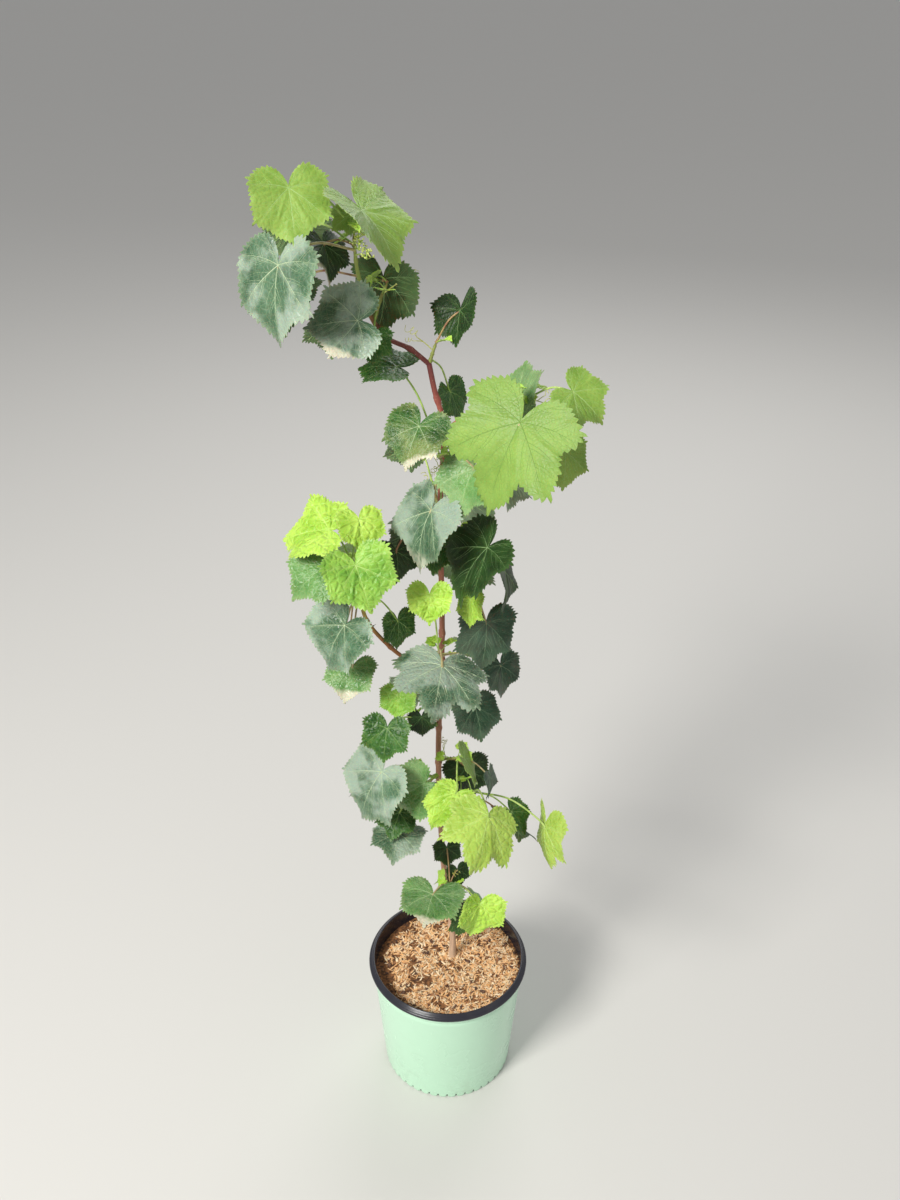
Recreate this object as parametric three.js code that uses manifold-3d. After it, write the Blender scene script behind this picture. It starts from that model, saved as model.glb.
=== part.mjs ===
// A young grapevine in a round nursery pot. Millimetres, Z up, seen from the -Y side.
// The origin is the middle of the pot's flat underside.
import * as THREE from 'three';
import { mergeVertices } from 'three/addons/utils/BufferGeometryUtils.js';
import Module from 'manifold-3d';

const wasm = await Module();
wasm.setup();

// Clearance between neighbouring solids, and how near two points are to count as one
const GAP = 0.3;
const MERGE = 1e-4;

// Pot
const POT_HEIGHT = 175;
const RIM_RADIUS = 100;
const RIM_DEPTH = 9;
const SHOULDER_RADIUS = 95;
const FOOT_RADIUS = 82;
const POT_WALL = 2;
const POT_FLOOR = 3;
const POT_SIDES = 48;
const POT_BEVEL = 2;
const LIP_BEVEL = 1;

// Potting mix
const SOIL_LEVEL = 155;
const SOIL_EDGE_DROP = 3;
const SOIL_SLOPE = 18;

// Stem and boughs: radii at root and tip, and the sides and steps of their meshes
const STEM_GIRTH = [3.6, 2.6];
const STEM_FLARE = 1.6;
const FLARE_HEIGHT = 22;
const BOUGH_GIRTH = [2.4, 1.9];
const LIMB_SIDES = 8;
const STEM_STEPS = 24;
const BOUGH_STEPS = 8;

// Twigs and leaf stalks
const TWIG_GIRTH = [1.9, 1.2];
const TWIG_SIDES = 5;
const TWIG_STEPS = 4;
const STALK_GIRTH = [1.1, 0.9];
const STALK_SIDES = 3;
const STALK_STEPS = 2;
const STALK_SINK = 0.1;

// A stalk's arch: its place along the stalk, and its height over the stalk's length
const ARCH_PLACE = 0.55;
const ARCH_HEIGHT = 0.16;

// Even places along a twig, and the first of them that may carry a stalk
const TWIG_PLACES = 12;
const FIRST_PLACE = 3;

// A young bunch of flower buds: half its width and half its length, and the share of that
// length from its middle down to its foot
const BUNCH_SIZE = [5, 9];
const BUNCH_FOOT = 0.7;

// Leaves: directions of the outline's points in degrees from the tip, and the blade's thickness
const HALF_OUTLINE = [0, 28, 50, 79, 103, 126, 148, 167, 180];
const INNER_RING = 0.52;
const BLADE_THICKNESS = 1.2;

// A leaf's outline over its half width: a round base, how far its middle lies ahead of its
// joint where its row doesn't say, and then pointed lobes, the notches between them, and the
// open bay at its joint, each as [height, degrees from the tip, spread]
const OUTLINE_BASE = 0.94;
const AHEAD = 0.16;
const LOBES = [[0.26, 0, 19], [0.18, 50, 16], [0.13, 103, 26]];
const NOTCHES = [[1, 28, 10], [0.7, 79, 11]];
const BAY = [[0.9, 180, 28]];

// The ranges from which a leaf draws its bends, in the order of the draws
const BENDS = {
  cut: [0.06, 0.16],
  fold: [0.04, 0.26],
  curl: [0.1, 0.45],
  wave: [0.03, 0.09],
  phase: [0, 2 * Math.PI],
};

// How a blade bends: its midrib's softness, its tip's curl, the fall of its edge, its waves
const MIDRIB_SOFTNESS = 0.01;
const CURL_SHARE = 0.5;
const EDGE_FALL = 0.08;
const WAVES = 3;

// The stem's middle line, from its flat foot on the soil to the bend at its top
const STEM_LINE = [
  [5.5, 14, SOIL_LEVEL + GAP],
  [6, 14, 190],
  [-6, 14, 320],
  [-12, 14, 480],
  [-8, 13, 645],
  [-10, 14, 810],
  [-7, 14, 890],
  [-16, 14, 928],
  [-21, 14, 954],
];

// The boughs' middle lines, each from inside the limb that carries it
const BOUGH_LINES = {
  leader: [[-20, 14, 951], [-38, 11, 967], [-60, 6, 980], [-74, 2, 1003], [-81, 0, 1028]],
  left_bough: [[-9, 13, 588], [-35, -4, 620], [-62, -20, 656], [-84, -30, 694], [-90, -34, 722]],
  right_bough: [[-8, 14, 880], [8, 6, 898], [30, -8, 912], [48, -20, 922]],
};

// Each mass of foliage: the line of its twig from inside the limb that carries it, and its
// leaves, each as [across, back, up] of the leaf's joint with its stalk, its width, the heading
// of its tip (0 to the front, 90 to the right), the droop of its tip, its roll, and then,
// where they stand out, the depth of its lobes, the fold along its midrib, and how far its
// middle lies ahead of its joint. A bunch is the middle of a young cluster of flower buds.
const MASSES = [
  {
    name: 'foliage_crown_left',
    colour: 0x7d9a4a,
    seed: 11,
    twig: [[-80, 0, 1024], [-84, -2, 1050], [-85, -4, 1080]],
    bunch: [-80, -14, 1070],
    leaves: [
      [-134, -40, 1121, 64, 16, 57, 0, 0.05, 0.1],
      [-145, -52, 1061, 88, -28, 65, -13, 0.05, 0.12, 0.2],
      [-112, -4, 1066, 46, 36, 50, 20],
      [-76, -21, 1098, 86, 63, 36, 4, 0.08, 0.28, 0],
      [-87, -8, 1093, 28, -60, 30, 50],
      [-138, 34, 1070, 62, 200, 45, 0],
      [-150, 30, 1014, 64, 210, 50, 0],
    ],
  },
  {
    name: 'foliage_crown_low',
    colour: 0x5f7d52,
    seed: 12,
    twig: [[-70, 3, 997], [-64, 12, 1014], [-58, 20, 1026]],
    leaves: [
      [-82, -34, 1008, 66, -83, 0, 50, 0.06],
      [-62, 24, 1028, 66, 150, 82, 0],
      [-70, -12, 986, 34, -5, 45, 0],
      [-106, 52, 980, 62, 215, 45, 0],
    ],
  },
  {
    name: 'foliage_crown_right',
    colour: 0x4c6a40,
    seed: 25,
    twig: [[-20.5, 14, 951], [-17, 16, 962], [-14, 20, 970]],
    leaves: [
      [9, 24, 999, 53, -14, 50, -34, 0.08, 0.42, 0.02],
      [-1, 50, 910, 44, 60, 60, 0],
    ],
  },
  {
    name: 'foliage_upper_right',
    colour: 0x86a84e,
    seed: 13,
    twig: [[46, -19, 921], [58, -24, 928], [72, -24, 934]],
    leaves: [
      [61, -84, 934, 112, -51, 53, 18, 0.3, 0.12, 0.24],
      [110, -42, 946, 54, 72, 32, -30],
      [106, -36, 886, 50, 15, 62, 20],
      [62, -24, 920, 70, 178, -50, 58],
      [66, 30, 868, 76, 150, 50, 0],
    ],
  },
  {
    name: 'foliage_upper_front',
    colour: 0x57764c,
    seed: 14,
    twig: [[-9, 14, 842], [-8, 0, 856], [-10, -14, 870]],
    leaves: [
      [-29, -34, 909, 60, -34, 42, 8, 0.05, 0.1, 0.05],
      [22, -50, 874, 66, -42, 48, 0],
      [-18, -44, 827, 82, -58, 56, 2, 0.08, 0.1, 0.2],
      [-10, -12, 780, 50, -20, 45, 0],
      [-50, 8, 950, 56, -110, -2, 12],
    ],
  },
  {
    name: 'foliage_upper_side',
    colour: 0x41613f,
    seed: 15,
    twig: [[-10, 14, 752], [8, 6, 766], [24, -4, 776]],
    leaves: [
      [36, -62, 797, 82, -76, 42, 10, 0.1, 0.2, 0.25],
      [56, 10, 730, 62, 40, 62, 40],
      [22, -24, 718, 42, -25, 62, -30],
      [38, -4, 676, 70, 2, 58, 30],
      [8, 56, 712, 74, 160, 50, 0],
    ],
  },
  {
    name: 'foliage_upper_back',
    colour: 0x4d6b45,
    seed: 16,
    twig: [[-10, 14, 792], [-14, 28, 804], [-18, 42, 814]],
    leaves: [
      [-56, 26, 744, 50, 30, 68, 0],
      [-34, 60, 850, 60, 200, 50, 0],
      [6, 62, 788, 76, 160, 50, 0],
      [-30, 72, 744, 70, 200, 50, 0],
      [48, 62, 818, 68, 130, 50, 0],
    ],
  },
  {
    name: 'foliage_left',
    colour: 0x7f9f58,
    seed: 17,
    twig: [[-89.5, -33, 718], [-92, -36, 742], [-96, -38, 766]],
    leaves: [
      [-115, -46, 806, 66, -106, 4, 27, 0.2, 0.2, 0.4],
      [-87, -42, 816, 44, 20, 40, 0],
      [-121, -62, 776, 58, -58, 24, 28],
      [-89, -76, 785, 66, 32, 52, -16, 0.08, 0.35],
      [-104, -56, 705, 76, -70, 49, 27, 0.04],
      [-102, -20, 630, 52, -20, 36, 0],
      [-54, -14, 684, 42, 20, 64, 25],
      [-122, 12, 750, 64, 200, 45, 0],
      [-94, 34, 716, 62, 180, 50, 0],
      [-108, 20, 640, 56, 205, 50, 0],
    ],
  },
  {
    name: 'foliage_middle',
    colour: 0x6b8a55,
    seed: 18,
    twig: [[-8, 13, 622], [-10, -4, 636], [-11, -20, 650]],
    leaves: [
      [-7, -79, 674, 90, -5, 5, 11, 0.25, -0.22, 0.07],
      [-20, -44, 733, 43, 0, 45, 0, 0, 0.2, 0],
      [56, 22, 604, 50, 30, 60, 15],
    ],
  },
  {
    name: 'foliage_middle_low',
    colour: 0x5d8444,
    seed: 26,
    twig: [[-11, 14, 528], [-22, 4, 540], [-30, -4, 550]],
    leaves: [
      [-55, -14, 590, 38, -10, 62, 0],
      [-30, -14, 560, 30, 10, 60, 0],
      [-66, -42, 566, 50, -14, 50, 0],
      [28, -8, 570, 52, 25, 45, 0],
    ],
  },
  {
    name: 'foliage_middle_back',
    colour: 0x4a6844,
    seed: 19,
    twig: [[-10, 14, 575], [-9, 30, 584], [-8, 44, 592]],
    leaves: [
      [-34, 66, 552, 66, 200, 50, 0],
      [10, 72, 530, 66, 165, 50, 0],
      [30, 66, 594, 60, 140, 50, 0],
    ],
  },
  {
    name: 'foliage_low_left',
    colour: 0x66855a,
    seed: 20,
    twig: [[-11, 14, 452], [-22, 2, 464], [-34, -8, 476]],
    leaves: [
      [-73, -44, 508, 88, -71, 52, 21, 0.1, 0.14, 0.26],
      [-27, -46, 494, 60, -80, 32, 60, 0.12, 0.3, 0.37],
      [-56, -22, 430, 46, -20, 25, 0],
      [-57, -30, 404, 58, -8, -8, 0, 0.04, 0.15, 0.04],
      [-84, 26, 436, 60, -150, 50, 0],
    ],
  },
  {
    name: 'foliage_low_right',
    colour: 0x7fa353,
    seed: 21,
    twig: [[-9, 14, 424], [8, 2, 438], [26, -8, 450]],
    leaves: [
      [42, -101, 497, 76, -9, 15, 27, 0.24, -0.28, 0.27],
      [107, -60, 444, 74, -19, 63, -54, 0.2, -0.15, 0],
      [71, -34, 442, 40, 60, 30, 0],
      [74, 20, 380, 60, 130, 50, 0],
    ],
  },
  {
    name: 'foliage_low_middle',
    colour: 0x7c9e4c,
    seed: 27,
    twig: [[-11, 14, 478], [0, 4, 488], [10, -2, 494]],
    leaves: [
      [8, -71, 501, 53, -42, 20, 1, 0.12, 0, 0.45],
      [17, -25, 510, 48, 90, 49, 3, 0.1, 0.2, 0.21],
      [45, -30, 490, 38, 40, 68, 36],
      [20, 26, 456, 56, 20, 58, 0],
    ],
  },
  {
    name: 'foliage_low_back',
    colour: 0x4d6c47,
    seed: 22,
    twig: [[-10, 14, 392], [-9, 32, 400], [-8, 46, 404]],
    leaves: [
      [-50, 62, 380, 70, 205, 50, 0],
      [40, 62, 344, 70, 150, 50, 0],
      [-6, 80, 366, 66, 180, 50, 0],
    ],
  },
  {
    name: 'foliage_foot',
    colour: 0x6f9160,
    seed: 23,
    twig: [[-5, 14, 286], [-2, 0, 298], [2, -12, 308]],
    leaves: [
      [-18, -46, 325, 70, -12, -8, 0, 0, 0.1, 0],
      [37, -52, 317, 54, -16, 60, 38, 0.08, 0.55, 0.3],
      [18, -42, 288, 40, 0, 64, 35],
      [-2, 6, 350, 32, 10, 50, 0],
      [11, 0, 320, 28, 20, 50, 0],
      [-14, 40, 238, 52, 195, 40, 0],
      [40, 30, 232, 50, 120, 40, 0],
    ],
  },
];

const radians = THREE.MathUtils.degToRad;
const vector = ([x, y, z]) => new THREE.Vector3(x, y, z);
const bumps = (rows, angle) => rows.reduce(
  (sum, [height, centre, spread]) => sum + height * Math.exp(-(((angle - centre) / spread) ** 2)),
  0,
);
const points = (rows, angle) => rows.reduce(
  (sum, [height, centre, spread]) => sum + height * Math.exp(-Math.abs(angle - centre) / spread),
  0,
);

// A seeded stream of numbers, the same on every run.
function stream(seed) {
  let state = seed * 7919 + 17;
  const next = () => {
    state = (state * 16807) % 2147483647;
    return state / 2147483647;
  };
  next();
  return (low, high) => low + (high - low) * next();
}

// A geometry's positions and faces alone, with its shared vertices merged.
function bareOf(geometry) {
  const bare = new THREE.BufferGeometry();
  bare.setAttribute('position', geometry.getAttribute('position'));
  if (geometry.getIndex()) bare.setIndex(geometry.getIndex());
  return mergeVertices(bare, MERGE);
}

// A closed mesh as a manifold solid.
function solid(geometry) {
  const merged = bareOf(geometry);
  return new wasm.Manifold(new wasm.Mesh({
    numProp: 3,
    vertProperties: merged.getAttribute('position').array,
    triVerts: new Uint32Array(merged.getIndex().array),
  }));
}

// The geometry of a manifold solid's largest body, without loose scraps or sealed hollows.
function geometryOf(manifold) {
  const bodies = manifold.decompose();
  const largest = bodies.reduce((a, b) => (b.volume() > a.volume() ? b : a));
  const { vertProperties, triVerts } = largest.getMesh();
  const geometry = new THREE.BufferGeometry();
  geometry.setAttribute('position', new THREE.BufferAttribute(vertProperties, 3));
  geometry.setIndex(new THREE.BufferAttribute(triVerts, 1));
  geometry.computeVertexNormals();
  return geometry;
}

// A round limb that tapers along a smooth line, closed at both ends.
function limb({ line, girth, sides, steps, flare = 0, swell = 0 }) {
  const curve = new THREE.CatmullRomCurve3(line.map(vector));
  const frames = curve.computeFrenetFrames(steps);
  const positions = [];
  const index = [];
  const ring = (step) => {
    const along = step / steps;
    const middle = curve.getPointAt(along);
    if (step === 0) middle.addScaledVector(frames.tangents[0], -swell);
    if (step === steps) middle.addScaledVector(frames.tangents[steps], swell);
    const spread = flare * Math.exp(-(middle.z - line[0][2]) / FLARE_HEIGHT);
    const radius = THREE.MathUtils.lerp(...girth, along) + spread + swell;
    for (let side = 0; side < sides; side += 1) {
      const turn = (side / sides) * 2 * Math.PI;
      const point = middle.clone()
        .addScaledVector(frames.normals[step], radius * Math.cos(turn))
        .addScaledVector(frames.binormals[step], radius * Math.sin(turn));
      if (flare && step === 0) point.z = line[0][2] - swell;
      positions.push(...point);
    }
  };
  for (let step = 0; step <= steps; step += 1) ring(step);
  for (let step = 0; step < steps; step += 1) {
    for (let side = 0; side < sides; side += 1) {
      const a = step * sides + side;
      const b = step * sides + ((side + 1) % sides);
      index.push(a, b, a + sides, b, b + sides, a + sides);
    }
  }
  const last = steps * sides;
  for (let side = 1; side < sides - 1; side += 1) {
    index.push(0, side + 1, side, last, last + side, last + side + 1);
  }
  const geometry = new THREE.BufferGeometry();
  geometry.setAttribute('position', new THREE.Float32BufferAttribute(positions, 3));
  geometry.setIndex(index);
  return geometry;
}

// How far a leaf's edge lies from its joint, over its half width, at an angle from its tip.
function reach(angle, { cut, ahead }) {
  const away = Math.abs(angle);
  const lobes = OUTLINE_BASE + points(LOBES, away) - cut * bumps(NOTCHES, away)
    + ahead * Math.cos(radians(away));
  return lobes * (1 - bumps(BAY, away));
}

// The height of a blade over its flat plane: folded on the midrib, tip down, edge in waves.
function lift(u, v, { fold, curl, wave, phase }) {
  const turn = Math.atan2(v, u);
  const out = u * u + v * v;
  return fold * Math.sqrt(v * v + MIDRIB_SOFTNESS) - CURL_SHARE * curl * u * Math.abs(u)
    - EDGE_FALL * out + wave * out * Math.sin(WAVES * turn + phase);
}

// The three axes of a leaf: along its midrib, across it, and out of its upper face.
function leafAxes(heading, droop, roll) {
  const [h, d, r] = [heading, droop, roll].map(radians);
  const along = new THREE.Vector3(
    Math.cos(d) * Math.sin(h), -Math.cos(d) * Math.cos(h), -Math.sin(d));
  const level = new THREE.Vector3(
    Math.sin(d) * Math.sin(h), -Math.sin(d) * Math.cos(h), Math.cos(d));
  const side = new THREE.Vector3().crossVectors(level, along);
  const face = level.clone().multiplyScalar(Math.cos(r)).addScaledVector(side, Math.sin(r));
  return { along, across: new THREE.Vector3().crossVectors(face, along), face };
}

// A leaf from its row, with the bends that its own seed gives it.
function leafFrom([x, y, z, width, heading, droop, roll, cut, fold, ahead = AHEAD], random) {
  const shape = Object.fromEntries(
    Object.entries(BENDS).map(([name, [low, high]]) => [name, random(low, high)]));
  if (cut !== undefined) shape.cut = cut;
  if (fold !== undefined) shape.fold = fold;
  shape.ahead = ahead;
  return { joint: vector([x, y, z]), half: width / 2, ...leafAxes(heading, droop, roll), shape };
}

// A leaf's blade: a thin slab between two bent faces, each a fan inside one ring.
function blade({ joint, half, along, across, face, shape }) {
  const angles = [...HALF_OUTLINE, ...HALF_OUTLINE.slice(1, -1).reverse().map((a) => -a)];
  const count = angles.length;
  const positions = [];
  const point = (angle, share, side) => {
    const far = share * reach(angle, shape);
    const u = far * Math.cos(radians(angle));
    const v = far * Math.sin(radians(angle));
    const height = half * lift(u, v, shape) + side * BLADE_THICKNESS / 2;
    positions.push(...joint.clone()
      .addScaledVector(along, half * u)
      .addScaledVector(across, half * v)
      .addScaledVector(face, height));
  };
  const inner = angles.filter((_, i) => i % 2 === 0);
  for (const side of [1, -1]) {
    point(0, 0, side);
    inner.forEach((angle) => point(angle, INNER_RING, side));
    angles.forEach((angle) => point(angle, 1, side));
  }
  const layer = 1 + inner.length + count;
  const index = [];
  const face3 = (a, b, c) => {
    index.push(a, b, c, a + layer, c + layer, b + layer);
  };
  inner.forEach((_, i) => {
    const here = 1 + i;
    const next = 1 + ((i + 1) % inner.length);
    const rim = 1 + inner.length;
    const before = rim + ((2 * i - 1 + count) % count);
    const at = rim + 2 * i;
    const after = rim + 2 * i + 1;
    face3(0, here, next);
    face3(here, before, at);
    face3(here, at, after);
    face3(here, after, next);
  });
  angles.forEach((_, i) => {
    const a = 1 + inner.length + i;
    const b = 1 + inner.length + ((i + 1) % count);
    index.push(a, a + layer, b, b, a + layer, b + layer);
  });
  const geometry = new THREE.BufferGeometry();
  geometry.setAttribute('position', new THREE.Float32BufferAttribute(positions, 3));
  geometry.setIndex(index);
  return geometry;
}

// The place on a twig where a leaf's stalk springs: near the leaf and rather below it.
function springOf(curve, joint) {
  const places = curve.getSpacedPoints(TWIG_PLACES).slice(FIRST_PLACE);
  const cost = (p) => p.distanceTo(joint) + Math.max(0, p.z - joint.z);
  return places.reduce((a, b) => (cost(b) < cost(a) ? b : a));
}

// A stalk that arches up from the twig to a joint and runs on to its sunk end.
function stalk(curve, joint, end) {
  const root = springOf(curve, joint);
  const arch = root.clone().lerp(joint, ARCH_PLACE);
  arch.z += ARCH_HEIGHT * root.distanceTo(joint);
  return limb({
    line: [root, arch, joint, end].map((p) => p.toArray()),
    girth: STALK_GIRTH,
    sides: STALK_SIDES,
    steps: STALK_STEPS,
  });
}

// A leaf with its stalk, sunk into the blade.
function stalkedLeaf(curve, leaf) {
  const end = leaf.joint.clone().addScaledVector(leaf.along, STALK_SINK * leaf.half);
  return solid(blade(leaf)).add(solid(stalk(curve, leaf.joint, end)));
}

// A bunch of flower buds on its stalk.
function stalkedBunch(curve, middle) {
  const [wide, long] = BUNCH_SIZE;
  const buds = new THREE.IcosahedronGeometry(1).scale(wide, wide, long).translate(...middle);
  const foot = vector(middle);
  foot.z -= long * BUNCH_FOOT;
  return solid(buds).add(solid(stalk(curve, foot, vector(middle))));
}

// A mass of foliage: one twig with its leaves, cut clear of the limbs it grows among.
function foliage({ twig, leaves, bunch, seed }, limbs) {
  const random = stream(seed);
  const curve = new THREE.CatmullRomCurve3(twig.map(vector));
  const wood = limb({ line: twig, girth: TWIG_GIRTH, sides: TWIG_SIDES, steps: TWIG_STEPS });
  const grown = leaves.map((row) => stalkedLeaf(curve, leafFrom(row, random)));
  if (bunch) grown.push(stalkedBunch(curve, bunch));
  const whole = grown.reduce((sum, piece) => sum.add(piece), solid(wood));
  return geometryOf(limbs.reduce((rest, carrier) => rest.subtract(carrier), whole));
}

// The pot's wall radius at a height, outside.
function wallRadius(height) {
  const top = POT_HEIGHT - RIM_DEPTH;
  return THREE.MathUtils.lerp(FOOT_RADIUS, SHOULDER_RADIUS, height / top);
}

// A solid of revolution about the Z axis from a profile of [radius, height] pairs.
function turned(profile) {
  const points = profile.map(([r, z]) => new THREE.Vector2(r, z));
  return new THREE.LatheGeometry(points, POT_SIDES).rotateX(Math.PI / 2);
}

function potGeometry() {
  const under = POT_HEIGHT - RIM_DEPTH;
  const bore = SHOULDER_RADIUS - POT_WALL;
  const profile = [
    [0, 0],
    [FOOT_RADIUS - POT_BEVEL, 0],
    [FOOT_RADIUS, POT_BEVEL],
    [SHOULDER_RADIUS, under],
    [RIM_RADIUS - LIP_BEVEL, under],
    [RIM_RADIUS, under + POT_BEVEL],
    [RIM_RADIUS, POT_HEIGHT - POT_BEVEL],
    [RIM_RADIUS - POT_BEVEL, POT_HEIGHT],
    [bore + LIP_BEVEL, POT_HEIGHT],
    [bore, POT_HEIGHT - POT_BEVEL],
    [bore, under],
    [wallRadius(POT_FLOOR) - POT_WALL, POT_FLOOR],
    [0, POT_FLOOR],
  ];
  return geometryOf(solid(turned(profile)));
}

function soilGeometry() {
  const edge = SOIL_LEVEL - SOIL_EDGE_DROP;
  const profile = [
    [0, POT_FLOOR + GAP],
    [wallRadius(POT_FLOOR) - POT_WALL - GAP, POT_FLOOR + GAP],
    [wallRadius(edge) - POT_WALL - GAP, edge],
    [wallRadius(edge) - SOIL_SLOPE, SOIL_LEVEL],
    [0, SOIL_LEVEL],
  ];
  return geometryOf(solid(turned(profile)));
}

const stemShape = {
  line: STEM_LINE, girth: STEM_GIRTH, sides: LIMB_SIDES, steps: STEM_STEPS, flare: STEM_FLARE,
};
const boughShape = (line) => ({
  line, girth: BOUGH_GIRTH, sides: LIMB_SIDES, steps: BOUGH_STEPS,
});

function node(name, geometry, color, roughness) {
  const mesh = new THREE.Mesh(
    geometry, new THREE.MeshStandardMaterial({ color, roughness, metalness: 0 }));
  mesh.name = name;
  return mesh;
}

const vine = new THREE.Group();
vine.add(node('pot', potGeometry(), 0x8fb9a4, 0.45));
vine.add(node('soil', soilGeometry(), 0x8a6a48, 0.95));
vine.add(node('stem', limb(stemShape), 0x9a7350, 0.8));

const stemRoom = solid(limb({ ...stemShape, swell: GAP }));
const limbRooms = [stemRoom];
for (const [name, line] of Object.entries(BOUGH_LINES)) {
  const whole = solid(limb(boughShape(line)));
  vine.add(node(name, geometryOf(whole.subtract(stemRoom)), 0x8a4f3c, 0.7));
  limbRooms.push(solid(limb({ ...boughShape(line), swell: GAP })));
}
for (const mass of MASSES) {
  vine.add(node(mass.name, foliage(mass, limbRooms), mass.colour, 0.6));
}

export default vine;
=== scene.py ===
"""Dresses a young potted grapevine: leaves, veins, shoots, bark, pot and mulch.

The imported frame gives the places. Each mass of foliage grows here by the rule that shaped
its solid, with the same seeds, and goes on to toothed edges, veins, puckers and small new
leaves. Units are metres unless a name says otherwise. +Z is up and -Y faces the viewer.
"""

import logging
import math
from collections.abc import Sequence
from dataclasses import dataclass, field
from enum import Enum

import bpy
import numpy as np
from mathutils import Matrix, Vector, noise


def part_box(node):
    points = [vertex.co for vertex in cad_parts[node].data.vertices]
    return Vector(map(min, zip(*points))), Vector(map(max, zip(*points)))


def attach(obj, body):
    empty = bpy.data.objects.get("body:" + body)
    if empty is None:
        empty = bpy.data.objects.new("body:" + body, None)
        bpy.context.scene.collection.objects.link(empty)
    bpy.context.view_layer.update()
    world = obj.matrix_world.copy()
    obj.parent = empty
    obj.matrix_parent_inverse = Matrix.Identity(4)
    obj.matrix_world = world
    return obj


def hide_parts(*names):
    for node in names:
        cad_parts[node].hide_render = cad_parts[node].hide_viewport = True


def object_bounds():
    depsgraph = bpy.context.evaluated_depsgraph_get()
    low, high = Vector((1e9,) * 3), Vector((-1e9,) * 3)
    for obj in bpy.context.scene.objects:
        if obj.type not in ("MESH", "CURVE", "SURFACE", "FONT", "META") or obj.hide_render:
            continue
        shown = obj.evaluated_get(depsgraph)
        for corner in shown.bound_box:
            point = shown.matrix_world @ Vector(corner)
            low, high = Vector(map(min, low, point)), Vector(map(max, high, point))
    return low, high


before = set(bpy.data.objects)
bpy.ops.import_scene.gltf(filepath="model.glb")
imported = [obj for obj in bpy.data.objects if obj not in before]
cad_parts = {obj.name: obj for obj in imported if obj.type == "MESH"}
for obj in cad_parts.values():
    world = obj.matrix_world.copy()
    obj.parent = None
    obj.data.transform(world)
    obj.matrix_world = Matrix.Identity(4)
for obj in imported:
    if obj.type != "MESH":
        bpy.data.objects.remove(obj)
CAD_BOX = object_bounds()

log = logging.getLogger("grapevine")

MM = 0.001
BODY = "root"
MARKS = ("rim", "shade", "fade", "glow")
CLOUD_EASE = (0.3, 0.7)

Colour = tuple[float, float, float]
Point = Sequence[float]


def ink(code: str) -> Colour:
    """Turns a colour written as on screen into the linear values that a shader takes."""
    parts = [int(code[i:i + 2], 16) / 255 for i in (1, 3, 5)]
    return tuple(p / 12.92 if p <= 0.04045 else ((p + 0.055) / 1.055) ** 2.4 for p in parts)


def smooth(values: np.ndarray, low: float, high: float) -> np.ndarray:
    """Eases values from 0 at low to 1 at high."""
    t = np.clip((np.asarray(values, float) - low) / (high - low), 0, 1)
    return t * t * (3 - 2 * t)


def bumps(rows: Sequence[tuple[float, float, float]], at: np.ndarray) -> np.ndarray:
    """Adds up bell-shaped bumps, each given by its height, centre and spread."""
    return sum(height * np.exp(-(((at - centre) / spread) ** 2)) for height, centre, spread in rows)


def peaks(rows: Sequence[tuple[float, float, float]], at: np.ndarray) -> np.ndarray:
    """Adds up pointed bumps, each given by its height, centre and spread."""
    return sum(height * np.exp(-np.abs(at - centre) / spread) for height, centre, spread in rows)


def unit(vector: np.ndarray) -> np.ndarray:
    """Gives the direction of a vector, or of each row of an array of vectors."""
    return vector / np.linalg.norm(vector, axis=-1, keepdims=True)


class Stream:
    """A seeded stream of numbers, the same on every run."""

    STEP = 16807
    SPAN = 2147483647
    SEED_STEP = 7919
    SEED_START = 17

    def __init__(self, seed: int) -> None:
        """Starts the stream; like seeds give like streams."""
        self.state = seed * self.SEED_STEP + self.SEED_START
        self.between(0, 1)

    def between(self, low: float, high: float) -> float:
        """Draws the next number, from low to high."""
        self.state = (self.state * self.STEP) % self.SPAN
        return low + (high - low) * self.state / self.SPAN

    def several(self, count: int, low: float, high: float) -> np.ndarray:
        """Draws a row of numbers, each from low to high."""
        return np.array([self.between(low, high) for _ in range(count)])

    def facing(self) -> np.ndarray:
        """Draws a direction, even over the sphere.

        Returns:
            A unit vector.
        """
        turn = self.between(0, 2 * math.pi)
        height = self.between(-1, 1)
        flat = math.sqrt(1 - height * height)
        return np.array([flat * math.cos(turn), flat * math.sin(turn), height])


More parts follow.
